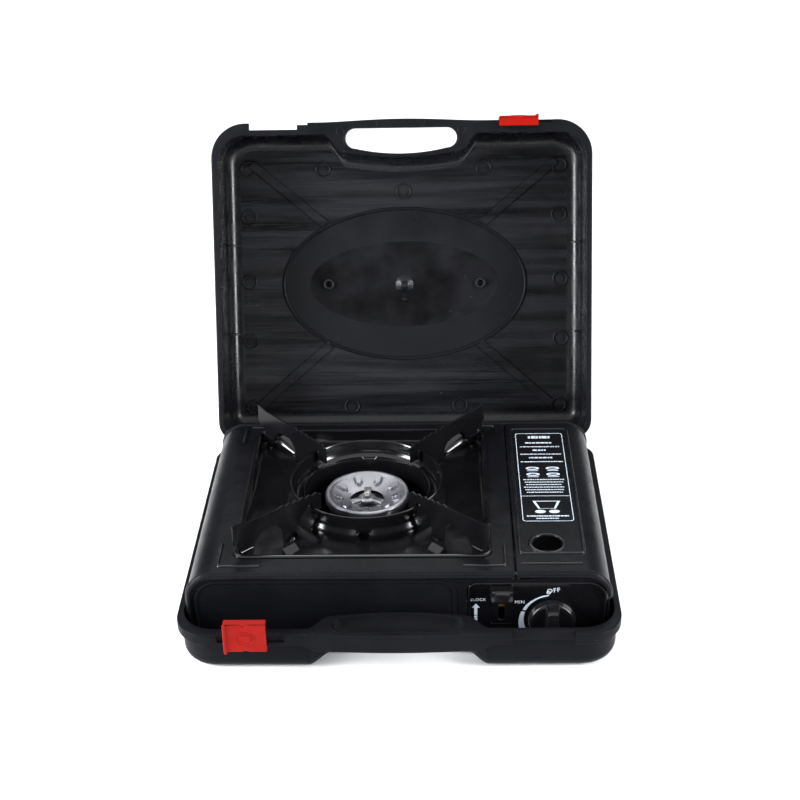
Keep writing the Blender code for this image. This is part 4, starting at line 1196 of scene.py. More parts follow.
@dataclass
class CaseLid(CaseHalf):
    """The lid: deeper, with a stepped oval in its panel, and the marks of its moulding inside."""

    depth: float = 0.068
    fillet: float = 0.016
    seam: float = 0.0006
    base_depth: float = 0.040
    notch: tuple[float, float] = (-0.1445, -0.0985)
    step: tuple[float, float] = (-0.0985, -0.0885)
    track: tuple[float, float] = (0.0930, 0.1430)
    oval: tuple[float, float] = (0.1205, 0.0745)
    inner_oval: tuple[float, float] = (0.0945, 0.0425)
    oval_deep: float = 0.0020
    inner_deep: float = 0.0010

    def opened(self) -> Matrix:
        """Works out the swing of the lid about its hinge.

        Returns:
            The matrix from the shut lid to the open one.
        """
        hinge = joint("lid_hinge")
        pivot = Vector(hinge["pos_m"])
        angle = math.radians(hinge["range_deg"][1])
        turn = Matrix.Rotation(-angle, 4, Vector(hinge["axis"]))
        return Matrix.Translation(pivot) @ turn @ Matrix.Translation(-pivot)

    def build(self) -> None:
        """Makes the lid shut and upside down, cuts it, and swings it open."""
        rings, edge = self.shell()
        a, b = self.oval
        c, d = self.inner_oval
        soft = 0.006
        sag, sink = -self.oval_deep, -self.oval_deep - self.inner_deep
        inner = [(a, b, 0.0), (a - 0.0012, b - 0.0012, sag), (c, d, sag), (c - soft, d - soft, sink)]
        skin = Skin().grid(rings[:-9]).grid(rings[-10:], slot=4)
        panel = self.floor(edge, self.wall, inner)
        skin.grid(panel[:19], slot=1).grid(panel[18:31], slot=2).grid(panel[30:], slot=3)
        skin.grid(self.floor(rings[0], 0.0, inner))
        top = self.base_depth + self.seam + self.depth
        over = Matrix(((-1, 0, 0, 0), (0, 1, 0, 0), (0, 0, -1, top), (0, 0, 0, 1)))
        finishes = (MOULDED, PANEL_FLOW, PANEL_SMOOTH, PANEL_DARK_OVAL, MOULDED_BEND)
        piece = skin.move(over).build("case_lid_shell", *finishes)
        low = self.base_depth + self.seam
        high = low + self.rim_tall
        lip = self.front - self.grip_bow
        cuts = [
            Skin().block((self.notch[0], lip, 0.0), (self.notch[1], self.front + 0.0065, high + 0.0003)),
            Skin().block((self.step[0], lip, 0.0), (self.step[1], self.front + 0.0022, high + 0.0003)),
            Skin().block((self.track[0], lip, 0.0), (self.track[1], self.front + 0.0026, high - 0.0035)),
        ]
        carve(piece, self.hole(low - self.grip_extra, high + 2 * self.grip_extra), *cuts, edge=0.0005)
        self.hang(piece, (0.0,), OUTER_BARRELS)
        join(piece, self.marks(top - self.wall).build("lid_marks", MOULDED, PANEL_FLOW))
        piece.data.transform(self.opened())
        piece.data.update()
        hand_over(piece, "lid", Slot.CASE, "case_lid")

    def marks(self, panel: float) -> Skin:
        """What stands on the inside of the panel, worked out with the lid shut.

        Args:
            panel: height of the panel's inner face.

        Returns:
            Ribs, pin marks, bosses, the sprue and the corner fins.
        """
        skin = Skin()
        self.hole_lip(skin, self.base_depth + self.seam, -1.0)
        for side in (-1, 1):
            spans = [((0.151, -0.118), (0.078, -0.0570)), ((0.1475, 0.1255), (0.0745, 0.0625))]
            for start, end in spans:
                path = np.array([(side * start[0], start[1]), (side * end[0], end[1])])
                self.rib(skin, path, panel)
            places = [(0.154, -0.113), (0.0795, -0.1116), (0.154, -0.065), (0.1555, -0.001)]
            places += [(0.156, 0.0586), (0.154, 0.126), (0.0545, 0.1264)]
            for x, y in places:
                self.pin_mark(skin, side * x, y, panel)
            sink = panel + self.oval_deep + self.inner_deep
            boss = soften([(0.0052, 0.0), (0.0052, 0.0035), (0.0032, 0.0035), (0.0032, -0.0005)], 0.0006)
            self.down(skin, boss, side * 0.0757, 0.0025, sink)
            for y in (-0.0372, 0.0517):
                self.fin(skin, side, y, panel)
            ring = ring_outline(side * 0.0572, self.front + 0.0084, 0.0034, 24)
            skin.bead(ring, 0.0016, 0.0007, self.base_depth + self.seam, closed=True, up=-1)
            x = side * 0.0225
            grip = np.array([(x, self.hole_front - 0.0070), (x, self.hole_front - 0.0012)])
            skin.bead(grip, 0.0012, 0.00025, self.base_depth + self.seam, up=-1)
        self.pin_mark(skin, 0.0, -0.0888, panel)
        brim = ellipse(0.0, self.oval_y, self.oval[0] + 0.0006, self.oval[1] + 0.0006, 144)
        skin.bead(brim, 0.0030, 0.0010, panel, closed=True, up=-1)
        sprue = [(0.0, 0.0055), (0.0026, 0.0052), (0.0034, 0.0030), (0.0066, 0.0016)]
        sprue += [(0.0090, 0.0), (0.0, -0.0005)]
        self.down(skin, np.array(sprue), 0.0, 0.0033, panel + self.oval_deep + self.inner_deep)
        nub = [(0.0, 0.0028), (0.0018, 0.0025), (0.0026, 0.0010), (0.0030, 0.0), (0.0, -0.0005)]
        self.down(skin, np.array(nub), 0.0, 0.0185, panel + self.oval_deep + self.inner_deep)
        for y, tall in ((0.0913, 0.00025), (0.1030, 0.00022)):
            path = np.array([(-0.107, y), (0.107, y)])
            skin.bead(path, 0.0016, tall, panel, up=-1, slot=1)
        return skin

    def rib(self, skin: Skin, path: Points, panel: float) -> None:
        """Adds a flat stiffening band with round edges along a straight path.

        Args:
            skin: the skin to add it to.
            path: its two ends.
            panel: height of the panel's inner face.
        """
        way = (path[1] - path[0]) / np.linalg.norm(path[1] - path[0])
        side = np.array([-way[1], way[0]]) * 0.0046
        outline = soften([path[0] - side, path[1] - side, path[1] + side, path[0] + side], 0.002)
        skin.plate(outline, panel - 0.0017, panel + 0.0004, edge=0.0007, slot=1)

    def pin_mark(self, skin: Skin, x: float, y: float, panel: float) -> None:
        """Adds the round ridge that an ejector pin leaves, with a low button inside it.

        Args:
            skin: the skin to add it to.
            x: its place along X.
            y: its place along Y.
            panel: height of the panel's inner face.
        """
        ridge = soften([(0.0060, -0.0004), (0.0065, 0.0014), (0.0074, 0.0014), (0.0081, -0.0004)], 0.0005)
        self.down(skin, ridge, x, y, panel)
        button = [(0.0, 0.0006), (0.0036, 0.0005), (0.0043, -0.0004), (0.0, -0.0004)]
        self.down(skin, np.array(button), x, y, panel)

    def down(self, skin: Skin, profile: Points, x: float, y: float, z: float) -> None:
        """Adds a turned shape that hangs from the panel of the shut lid."""
        flipped = np.c_[profile[:, 0], -profile[:, 1]]
        skin.turned(flipped, (x, y, z), 40, slot=1)

    def fin(self, skin: Skin, side: int, y: float, panel: float) -> None:
        """Adds the thin web that bridges the bend between the side wall and the panel.

        Args:
            skin: the skin to add it to.
            side: 1 or -1, the side that it is on.
            y: its place along Y.
            panel: height of the panel's inner face.
        """
        wall = self.width / 2 - self.rim_side - self.wall + 0.0004
        bend = self.fillet - self.wall
        angle = np.radians(np.linspace(0, 90, 10))
        curve = np.stack([wall - bend + bend * np.cos(angle), panel - bend + bend * np.sin(angle)], axis=1)
        inner = curve - np.stack([np.cos(angle), np.sin(angle)], axis=1) * 0.0020
        outline = np.concatenate([curve + 0.0002, inner[::-1]])
        outline[:, 0] *= side
        skin.plate(outline, y - 0.0010, y + 0.0010, Plane.XZ, edge=0.0002, slot=1)


@dataclass
class Latch:
    """A C-shaped slide that grips both rims, with a thumb dish, notches and a raised end."""

    name: str
    body: str
    raised_side: int
    wide: float = 0.037
    front: float = -0.1583
    back: float = -0.1553
    reach: float = -0.149
    low: float = 0.0305
    high: float = 0.0501
    lip: float = 0.0028

    def build(self, place: float, pose: Matrix | None = None) -> None:
        """Makes the latch.

        Args:
            place: X of its middle.
            pose: the matrix of the lid, if it sits on the lid.
        """
        half = self.wide / 2
        bottom, top = self.low - self.lip, self.high + self.lip
        mid = (bottom + top) / 2
        vee, deep = 0.0026, 0.0014
        face = [(-half, bottom), (-vee, bottom), (0.0, bottom + deep), (vee, bottom), (half, bottom)]
        face += [(half, top), (vee, top), (0.0, top - deep), (-vee, top), (-half, top)]
        skin = Skin().plate(soften(face, 0.0007, 3), self.front, self.back, Plane.XZ, edge=0.0006)
        for low in (bottom, self.high):
            near, far = (-half + 0.0002, self.front + 0.001, low), (half - 0.0002, self.reach, low + self.lip)
            skin.block(near, far, 0.0005)
        for rx, ry, wide, tall in ((0.0078, 0.0060, 0.0011, 0.0006), (0.0052, 0.0038, 0.0008, 0.0003)):
            skin.bead(ellipse(0.0, mid, rx, ry), wide, tall, self.front, Plane.XZ, closed=True, up=-1)
        end = self.raised_side * (half - 0.0013)
        ridge = soften(
            [(end - 0.0012, bottom - 0.0010), (end + 0.0012, bottom - 0.0018), (end + 0.0012, top + 0.0018),
             (end - 0.0012, top + 0.0010)],
            0.0006,
            3,
        )
        skin.plate(ridge, self.front - 0.0014, self.front + 0.0012, Plane.XZ, edge=0.0005)
        skin.move(Matrix.Translation((place, 0, 0)))
        if pose is not None:
            skin.move(pose)
        piece = skin.build(f"{self.name}_slide", LATCH_RED)
        hand_over(piece, self.body, Slot.LATCH, self.name)


# ---------------------------------------------------------------- stove body
@dataclass
class StoveBody:
    """The stove's pressed casing, its front sheet and the cover over the cartridge."""

    sheet: float = 0.0008
    bend: float = 0.022
    fold: float = 0.0014
    lip: float = 0.005
    front: float = -0.1205
    rear: float = 0.1355
    top: float = 0.075
    left: float = -0.173
    right: float = 0.173
    seam: float = 0.0949
    seam_gap: float = 0.0006
    finger: tuple[float, float] = (0.123, -0.0755)
    finger_radius: float = 0.0125
    barrel_starts: tuple[float, float] = (-0.100, 0.110)
    barrel_long: float = 0.020

    def bent_sheet(self, path: Points) -> Skin:
        """A sheet bent along X with both of its long edges curled down.

        A point of the path is carried along Y. At the front and rear edges it sinks along its own normal by
        R(1 - cos a) while Y moves on by R sin a, and beside them it rises in a low round ridge.

        Args:
            path: outline in X and Z, with the outer side on its left.

        Returns:
            The open outer skin.
        """
        outward = normals_of(path, closed=False)
        curl = np.radians(np.linspace(0, 90, 6))
        radius = 0.0018
        lift = 0.0011 * np.sin(np.linspace(0, np.pi, 9)[1:]) ** 0.8
        drop = np.concatenate([[radius + 0.0012], radius * (1 - np.cos(curl[::-1])), -lift])
        y_front = np.concatenate([[self.front], self.front + radius - radius * np.sin(curl[::-1])])
        y_front = np.concatenate([y_front, self.front + radius + 0.0005 * np.arange(1, 9)])
        inner = np.linspace(y_front[-1], self.rear + self.front - y_front[-1], 40)[1:-1]
        y = np.concatenate([y_front, inner, self.rear + self.front - y_front[::-1]])
        sink = np.concatenate([drop, np.zeros(len(inner)), drop[::-1]])
        x = path[None, :, 0] - outward[None, :, 0] * sink[:, None]
        z = path[None, :, 1] - outward[None, :, 1] * sink[:, None]
        rows = np.stack([x, np.broadcast_to(y[:, None], x.shape), z], axis=-1)
        return Skin().grid(rows, around=False)

    def casing(self) -> None:
        """Makes the left side and top, with the tray's opening and the pressed corner marks."""
        f = self.fold
        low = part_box("main_casing")[0][2]
        path = np.concatenate(
            [
                [(self.left, low)],
                between(np.array([self.left, low]), np.array([self.left, self.top - self.bend]), 6),
                arc(self.left + self.bend, self.top - self.bend, self.bend, 180, 90, 20),
                between(np.array([self.left + self.bend, self.top]), np.array([self.seam - f, self.top]), 40),
                arc(self.seam - f, self.top - f, f, 90, 0, 5),
                [(self.seam, self.top - self.lip)],
            ]
        )
        piece = self.bent_sheet(path).build("casing_sheet", ENAMEL)
        outward_up(piece)
        thicken(piece, self.sheet)
        low_tray, high_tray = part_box("drip_tray")
        flange = 0.0034
        hole = rounded(
            low_tray[0] + flange, high_tray[0] - flange, low_tray[1] + flange, high_tray[1] - flange, (0.006,)
        )
        carve(piece, Skin().plate(hole, self.top - 0.01, self.top + 0.01))
        skin = Skin()
        paths = [
            [(-0.1475, -0.0740), (-0.1475, -0.1065), (-0.1130, -0.1065)],
            [(0.0530, -0.1075), (0.0875, -0.1075), (0.0875, -0.0790)],
            [(-0.1475, 0.0960), (-0.1475, 0.1230)],
            [(-0.1430, 0.1260), (-0.1220, 0.1260)],
            [(0.0740, 0.1260), (0.0865, 0.1260), (0.0865, 0.1100)],
        ]
        for corners in paths:
            skin.bead(soften(corners, 0.004, 6, closed=False), 0.0036, 0.0013, self.top)
        join(piece, skin.build("casing_marks", ENAMEL_BEAD))
        hand_over(piece, "stove", Slot.BODY, "main_casing")

    def front_sheet(self) -> None:
        """Makes the front sheet with its pressed border and the opening for the controls."""
        low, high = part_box("front_panel")
        control_low, control_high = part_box("control_panel")
        bend = self.bend - self.sheet - 0.0003
        inner = self.top - self.sheet - 0.0003
        right = high[0]
        outline = np.concatenate(
            [
                [(low[0], low[2]), (right, low[2]), (right, 0.0447)],
                arc(self.right - self.bend, self.top - self.bend, bend - self.sheet, 0, 90, 12),
                [(0.0968, 0.0682), (0.0918, 0.0682), (0.0918, inner)],
                arc(low[0] + bend, inner - bend, bend, 90, 180, 12),
            ]
        )
        rim = 0.0008
        opening = rounded(
            control_low[0] - rim, control_high[0] + rim, control_low[2] - rim, control_high[2] + rim,
            (0.005, 0.005, 0.016, 0.008),
        )
        skin = Skin().plate(outline, low[1], high[1], Plane.XZ, (opening,), edge=0.0002)
        border = rounded(-0.1655, 0.0460, 0.0090, 0.0672, (0.006, 0.006, 0.013, 0.018))
        skin.bead(border, 0.0030, 0.0009, low[1], Plane.XZ, closed=True, up=-1)
        piece = skin.build("front_sheet", ENAMEL_FRONT)
        hand_over(piece, "stove", Slot.BODY, "front_panel")

    def cover(self) -> None:
        """Makes the cartridge cover with its pressed border, finger hole, barrels and printed label."""
        left = self.seam + self.seam_gap
        pivot = joint("cover_hinge")["pos_m"]
        foot = pivot[2] + 0.0033
        f = self.fold
        path = np.concatenate(
            [
                [(left, self.top - self.lip)],
                arc(left + f, self.top - f, f, 180, 90, 5),
                between(np.array([left + f, self.top]), np.array([self.right - self.bend, self.top]), 14),
                arc(self.right - self.bend, self.top - self.bend, self.bend, 90, 0, 20),
                [(self.right, foot)],
            ]
        )
        piece = self.bent_sheet(path).build("cover_sheet", ENAMEL)
        outward_up(piece)
        thicken(piece, self.sheet)
        x, y = self.finger
        finger = Skin().plate(ring_outline(x, y, self.finger_radius, 64), self.top - 0.01, self.top + 0.01)
        carve(piece, finger)
        skin = Skin()
        for at in self.barrel_starts:
            barrel = ring_outline(pivot[0], pivot[2], 0.0028, 24)
            bore = (ring_outline(pivot[0], pivot[2], 0.0018, 24),)
            skin.plate(barrel, at, at + self.barrel_long, Plane.XZ, bore, edge=0.0003)
            tab = [(self.right - self.sheet, pivot[2]), (self.right, pivot[2]), (self.right, foot + 0.001)]
            tab += [(self.right - self.sheet, foot + 0.001)]
            skin.plate(np.array(tab), at, at + self.barrel_long, Plane.XZ)
        collar = soften([(0.0120, -0.0012), (0.0126, 0.0010), (0.0150, 0.0009), (0.0166, -0.0004)], 0.0010, 5)
        skin.turned(collar, (x, y, self.top), 72)
        border = soften([(0.1000, 0.1190), (0.1525, 0.1190), (0.1525, -0.0900), (0.1000, -0.0900)], 0.004, 6)
        skin.bead(border, 0.0030, 0.0011, self.top, closed=True)
        skin.bead(np.array([(0.1000, -0.1050), (0.1500, -0.1050)]), 0.0030, 0.0011, self.top)
        join(piece, skin.build("cover_marks", ENAMEL_BEAD))
        hand_over(piece, "cover", Slot.BODY, "cartridge_cover")
        self.label()

    def label(self) -> None:
        """Prints a panel of plain marks on the cover: rows of dashes, pictures as shapes, and no words."""
        x0, x1, y0, y1 = 0.1045, 0.1480, -0.0415, 0.1105
        low, high = self.top + 0.00003, self.top + 0.00012
        skin = Skin()
        line = 0.0006
        outer = rounded(x0, x1, y0, y1, (0.003,))
        inner = rounded(x0 + line, x1 - line, y0 + line, y1 - line, (0.0025,))
        skin.plate(outer, low, high, holes=(inner,))
        divider = -0.0010
        skin.block((x0 + line, divider, low), (x1 - line, divider + line, high))
        rng = np.random.default_rng(11)
        centre = (x0 + x1) / 2

        def dashes(y: float, tall: float, width: float, mean: float) -> None:
            """Prints one row of dashes of uneven length about the label's middle.

            Args:
                y: the row's lower side.
                tall: the dashes' height.
                width: the row's length.
                mean: a dash's mean length.
            """
            x = centre - width / 2
            while x < centre + width / 2 - mean * 0.5:
                long = mean * rng.uniform(0.5, 1.5)
                end = min(x + long, centre + width / 2)
                skin.block((x, y, low), (end, y + tall, high))
                x = end + mean * rng.uniform(0.18, 0.35)

        dashes(0.1010, 0.0042, 0.020, 0.0032)
        rows = [(0.026, 0.0026), (0.036, 0.0022), (0.014, 0.0030)]
        rows += [(0.037, 0.0024), (0.022, 0.0026), (0.038, 0.0020)]
        for row, (width, mean) in enumerate(rows):
            dashes(0.0915 - 0.0068 * row, 0.0022 if row % 2 == 0 else 0.0014, width, mean)
        for row in range(2):
            for side in (-1, 1):
                x, y = centre + side * 0.0090, 0.0465 - 0.0105 * row
                hole = ellipse(x, y, 0.0040, 0.0012, 20)
                skin.plate(ellipse(x, y, 0.0060, 0.0026, 20), low, high, holes=(hole,))
                skin.block((x - 0.005, y - 0.0046, low), (x + 0.005, y - 0.0038, high))
        for row in range(6):
            dashes(0.0262 - 0.0043 * row, 0.0013, 0.036 - 0.002 * (row % 3), 0.0018)
        pan = np.array([(-0.0120, -0.0090), (0.0120, -0.0090), (0.0075, -0.0215), (-0.0075, -0.0215)])
        cut = pan * np.array([0.78, 0.90]) + np.array([0.0, -0.0018])
        skin.plate(pan + np.array([centre, 0.0]), low, high, holes=(cut + np.array([centre, 0.0]),))
        for side in (-1, 1):
            skin.plate(ellipse(centre + side * 0.0060, -0.0262, 0.0046, 0.0026, 20), low, high)
        dashes(-0.0342, 0.0018, 0.036, 0.0018)
        dashes(-0.0378, 0.0014, 0.020, 0.0018)
        hand_over(skin.build("cover_label", PRINT), "cover", Slot.PANEL)


def outward_up(piece: bpy.types.Object) -> None:
    """Turns an open sheet's faces so that most of them look upwards.

    Args:
        piece: the sheet.
    """
    mesh = piece.data
    normals = np.zeros(len(mesh.polygons) * 3)
    mesh.polygons.foreach_get("normal", normals)
    if normals.reshape(-1, 3)[:, 2].sum() < 0:
        mesh.flip_normals()


# ---------------------------------------------------------------- controls
@dataclass
class Controls:
    """The glossy control panel with its marks, the knob and the lock lever."""

    edge_radii: tuple[float, ...] = (0.004, 0.004, 0.015, 0.007)
    slot_half: float = 0.0025
    slot_low: float = 0.0280
    slot_high: float = 0.0610
    scale_radius: float = 0.0229
    arrow_x: float = 0.0630
    words: tuple[tuple[str, float, float, float, float], ...] = (
        ("OFF", 0.1262, 0.0548, 0.0058, 9.0),
        ("MIN", 0.0987, 0.0441, 0.0043, 0.0),
        ("UNLOCK", 0.0628, 0.0468, 0.0038, 0.0),
    )

    def panel(self) -> None:
        """Makes the panel with a raised rim, the lever's slot and the stem's hole."""
        low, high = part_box("control_panel")
        knob, lever = middle("knob"), middle("lock_lever")
        outline = rounded(low[0], high[0], low[2], high[2], self.edge_radii)
        left, right = lever.x - self.slot_half, lever.x + self.slot_half
        slot = rounded(left, right, self.slot_low, self.slot_high, (self.slot_half - 0.0001,))
        holes = (ring_outline(knob.x, knob.z, 0.004, 32), slot)
        skin = Skin().plate(outline, low[1], high[1], Plane.XZ, holes, edge=0.0003)
        inset = 0.0010
        rim = rounded(
            low[0] + inset, high[0] - inset, low[2] + inset, high[2] - inset,
            tuple(radius - inset for radius in self.edge_radii),
        )
        skin.bead(rim, 0.0026, 0.0018, low[1], Plane.XZ, closed=True, up=-1)
        guide = rounded(lever.x - 0.0095, lever.x + 0.0095, 0.0240, 0.0635, (0.0030,))
        skin.bead(guide, 0.0007, 0.0003, low[1], Plane.XZ, closed=True, up=-1)
        hand_over(skin.build("control_plate", PANEL_GLOSS), "stove", Slot.PANEL, "control_panel")
        self.marks(low[1], knob)

    def marks(self, face: float, knob: Vector) -> None:
        """Prints the flame scale, the arrow and the three dial words.

        The scale is an arc round the knob whose width grows with the angle that it has turned through.

        Args:
            face: Y of the panel's face.
            knob: middle of the knob.
        """
        near, far = face - 0.00014, face - 0.00003
        skin = Skin()
        for start, end in ((97.0, 158.0), (162.0, 213.0)):
            angle = np.linspace(start, end, 24)
            spread = 0.0009 + 0.0048 * ((angle - 90) / 120) ** 1.6
            around = np.radians(angle)
            ray = np.stack([np.cos(around), np.sin(around)], axis=1)
            centre = np.array([knob.x, knob.z])
            inner = centre + ray * self.scale_radius
            outer = centre + ray * (self.scale_radius + spread)[:, None]
            outline = np.concatenate([inner, outer[::-1]])
            skin.plate(outline, near, far, Plane.XZ)
        spot = (knob.x - 0.0030, knob.z + 0.0262)
        skin.plate(ring_outline(*spot, 0.0017, 24), near, far, Plane.XZ, (ring_outline(*spot, 0.0011, 24),))
        x = self.arrow_x
        head = np.array([(x - 0.0033, 0.0402), (x + 0.0033, 0.0402), (x, 0.0442)])
        skin.plate(head, near, far, Plane.XZ)
        tail = [(0.0402, 0.0330), (0.0322, 0.0302), (0.0294, 0.0274), (0.0266, 0.0246), (0.0238, 0.0190)]
        for high, low in tail:
            skin.plate(rounded(x - 0.0013, x + 0.0013, low, high, (0.0002,), 1), near, far, Plane.XZ)
        pieces = [skin.build("panel_marks", PRINT)]
        for word, x_mid, base, size, slant in self.words:
            pieces.append(self.word(word, (x_mid, near, base), size, slant))
        piece = join(*pieces)
        hand_over(piece, "stove", Slot.PANEL)

    def word(self, text: str, place: tuple, size: float, slant: float) -> bpy.types.Object:
        """A dial word as a thin mesh.

        Args:
            text: the word.
            place: middle of its base line.
            size: height of the letters' em.
            slant: how far it is turned, in degrees.

        Returns:
            The mesh object, with its place in its mesh.
        """
        curve = bpy.data.curves.new(text, "FONT")
        curve.body = text
        curve.size = size
        curve.align_x = "CENTER"
        curve.extrude = 0.00005
        curve.space_character = 1.12
        helper = stand(text, curve)
        mesh = applied(helper)
        discard(helper)
        mesh.transform(Matrix.Translation(place) @ spin(90, "X") @ spin(slant))
        mesh.materials.clear()
        mesh.materials.append(paint(PRINT))
        return stand(f"word_{text.lower()}", mesh)

    def knob(self) -> None:
        """Makes the knob: a skirt with a rounded step and a rounded edge, and a bar grip with soft sides."""
        low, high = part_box("knob")
        at = middle("knob")
        radius = (high[0] - low[0]) / 2
        skirt = 0.007
        profile = soften(
            [(0.0, skirt - 0.0006), (radius * 0.78, skirt), (radius * 0.90, skirt - 0.0006),
             (radius * 0.985, 0.0022), (radius, 0.0), (0.0, 0.0)],
            0.0014,
            4,
            closed=False,
        )
        skin = Skin().turned(profile, (at.x, high[1], at.z), 120, "-Y")
        face, tip = high[1] - skirt, low[1]
        depth = np.linspace(0, 1, 9)
        rings = []
        for t in depth:
            ease = math.sqrt(max(1 - t * t, 0.0))
            wide = 0.0050 + 0.0008 * (1 - t) - 0.0009 * (1 - ease)
            reach = radius * 0.93 - 0.0014 * (1 - ease) - 0.0012 * t
            outline = rounded(at.x - wide, at.x + wide, at.z - reach, at.z + reach, (wide * 0.45,), 6)
            y = face + 0.001 - t * (face + 0.001 - tip)
            rings.append(np.stack([outline[:, 0], np.full(len(outline), y), outline[:, 1]], axis=1))
        rows = np.stack(rings)
        skin.grid(rows).lids(rows)
        hand_over(skin.build("knob_body", KNOB_BLACK), "knob", Slot.KNOB, "knob")

    def lever(self) -> None:
        """Makes the lock lever: a pad with a hollowed face on a neck through the slot."""
        low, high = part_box("lock_lever")
        low[2] += 0.0030
        low[1] += 0.0015
        at = middle("lock_lever")
        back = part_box("control_panel")[0][1] - 0.0005
        rows = []
        for t in np.linspace(0, 1, 10):
            y = back + (low[1] - back) * t
            round_in = 0.0022 * (1 - math.sqrt(max(1 - (max(t - 0.72, 0) / 0.28) ** 2, 0.0)))
            wide = (high[0] - low[0]) / 2 - round_in
            outline = rounded(
                at.x - wide, at.x + wide, low[2] + round_in, high[2] - round_in - 0.001 * t, (0.0028,), 6
            )
            place = (outline[:, 1] - (low[2] + high[2]) / 2) / (high[2] - low[2])
            sag = 0.0020 * t * np.cos(place * np.pi) ** 2
            rows.append(np.stack([outline[:, 0], y + sag, outline[:, 1]], axis=1))
        rows = np.stack(rows)
        skin = Skin().grid(rows).lids(rows)
        near, far = (at.x - 0.002, back - 0.001, low[2] + 0.004), (at.x + 0.002, high[1], high[2] - 0.004)
        skin.block(near, far, 0.0003)
        hand_over(skin.build("lever_pad", KNOB_BLACK), "lever", Slot.KNOB, "lock_lever")


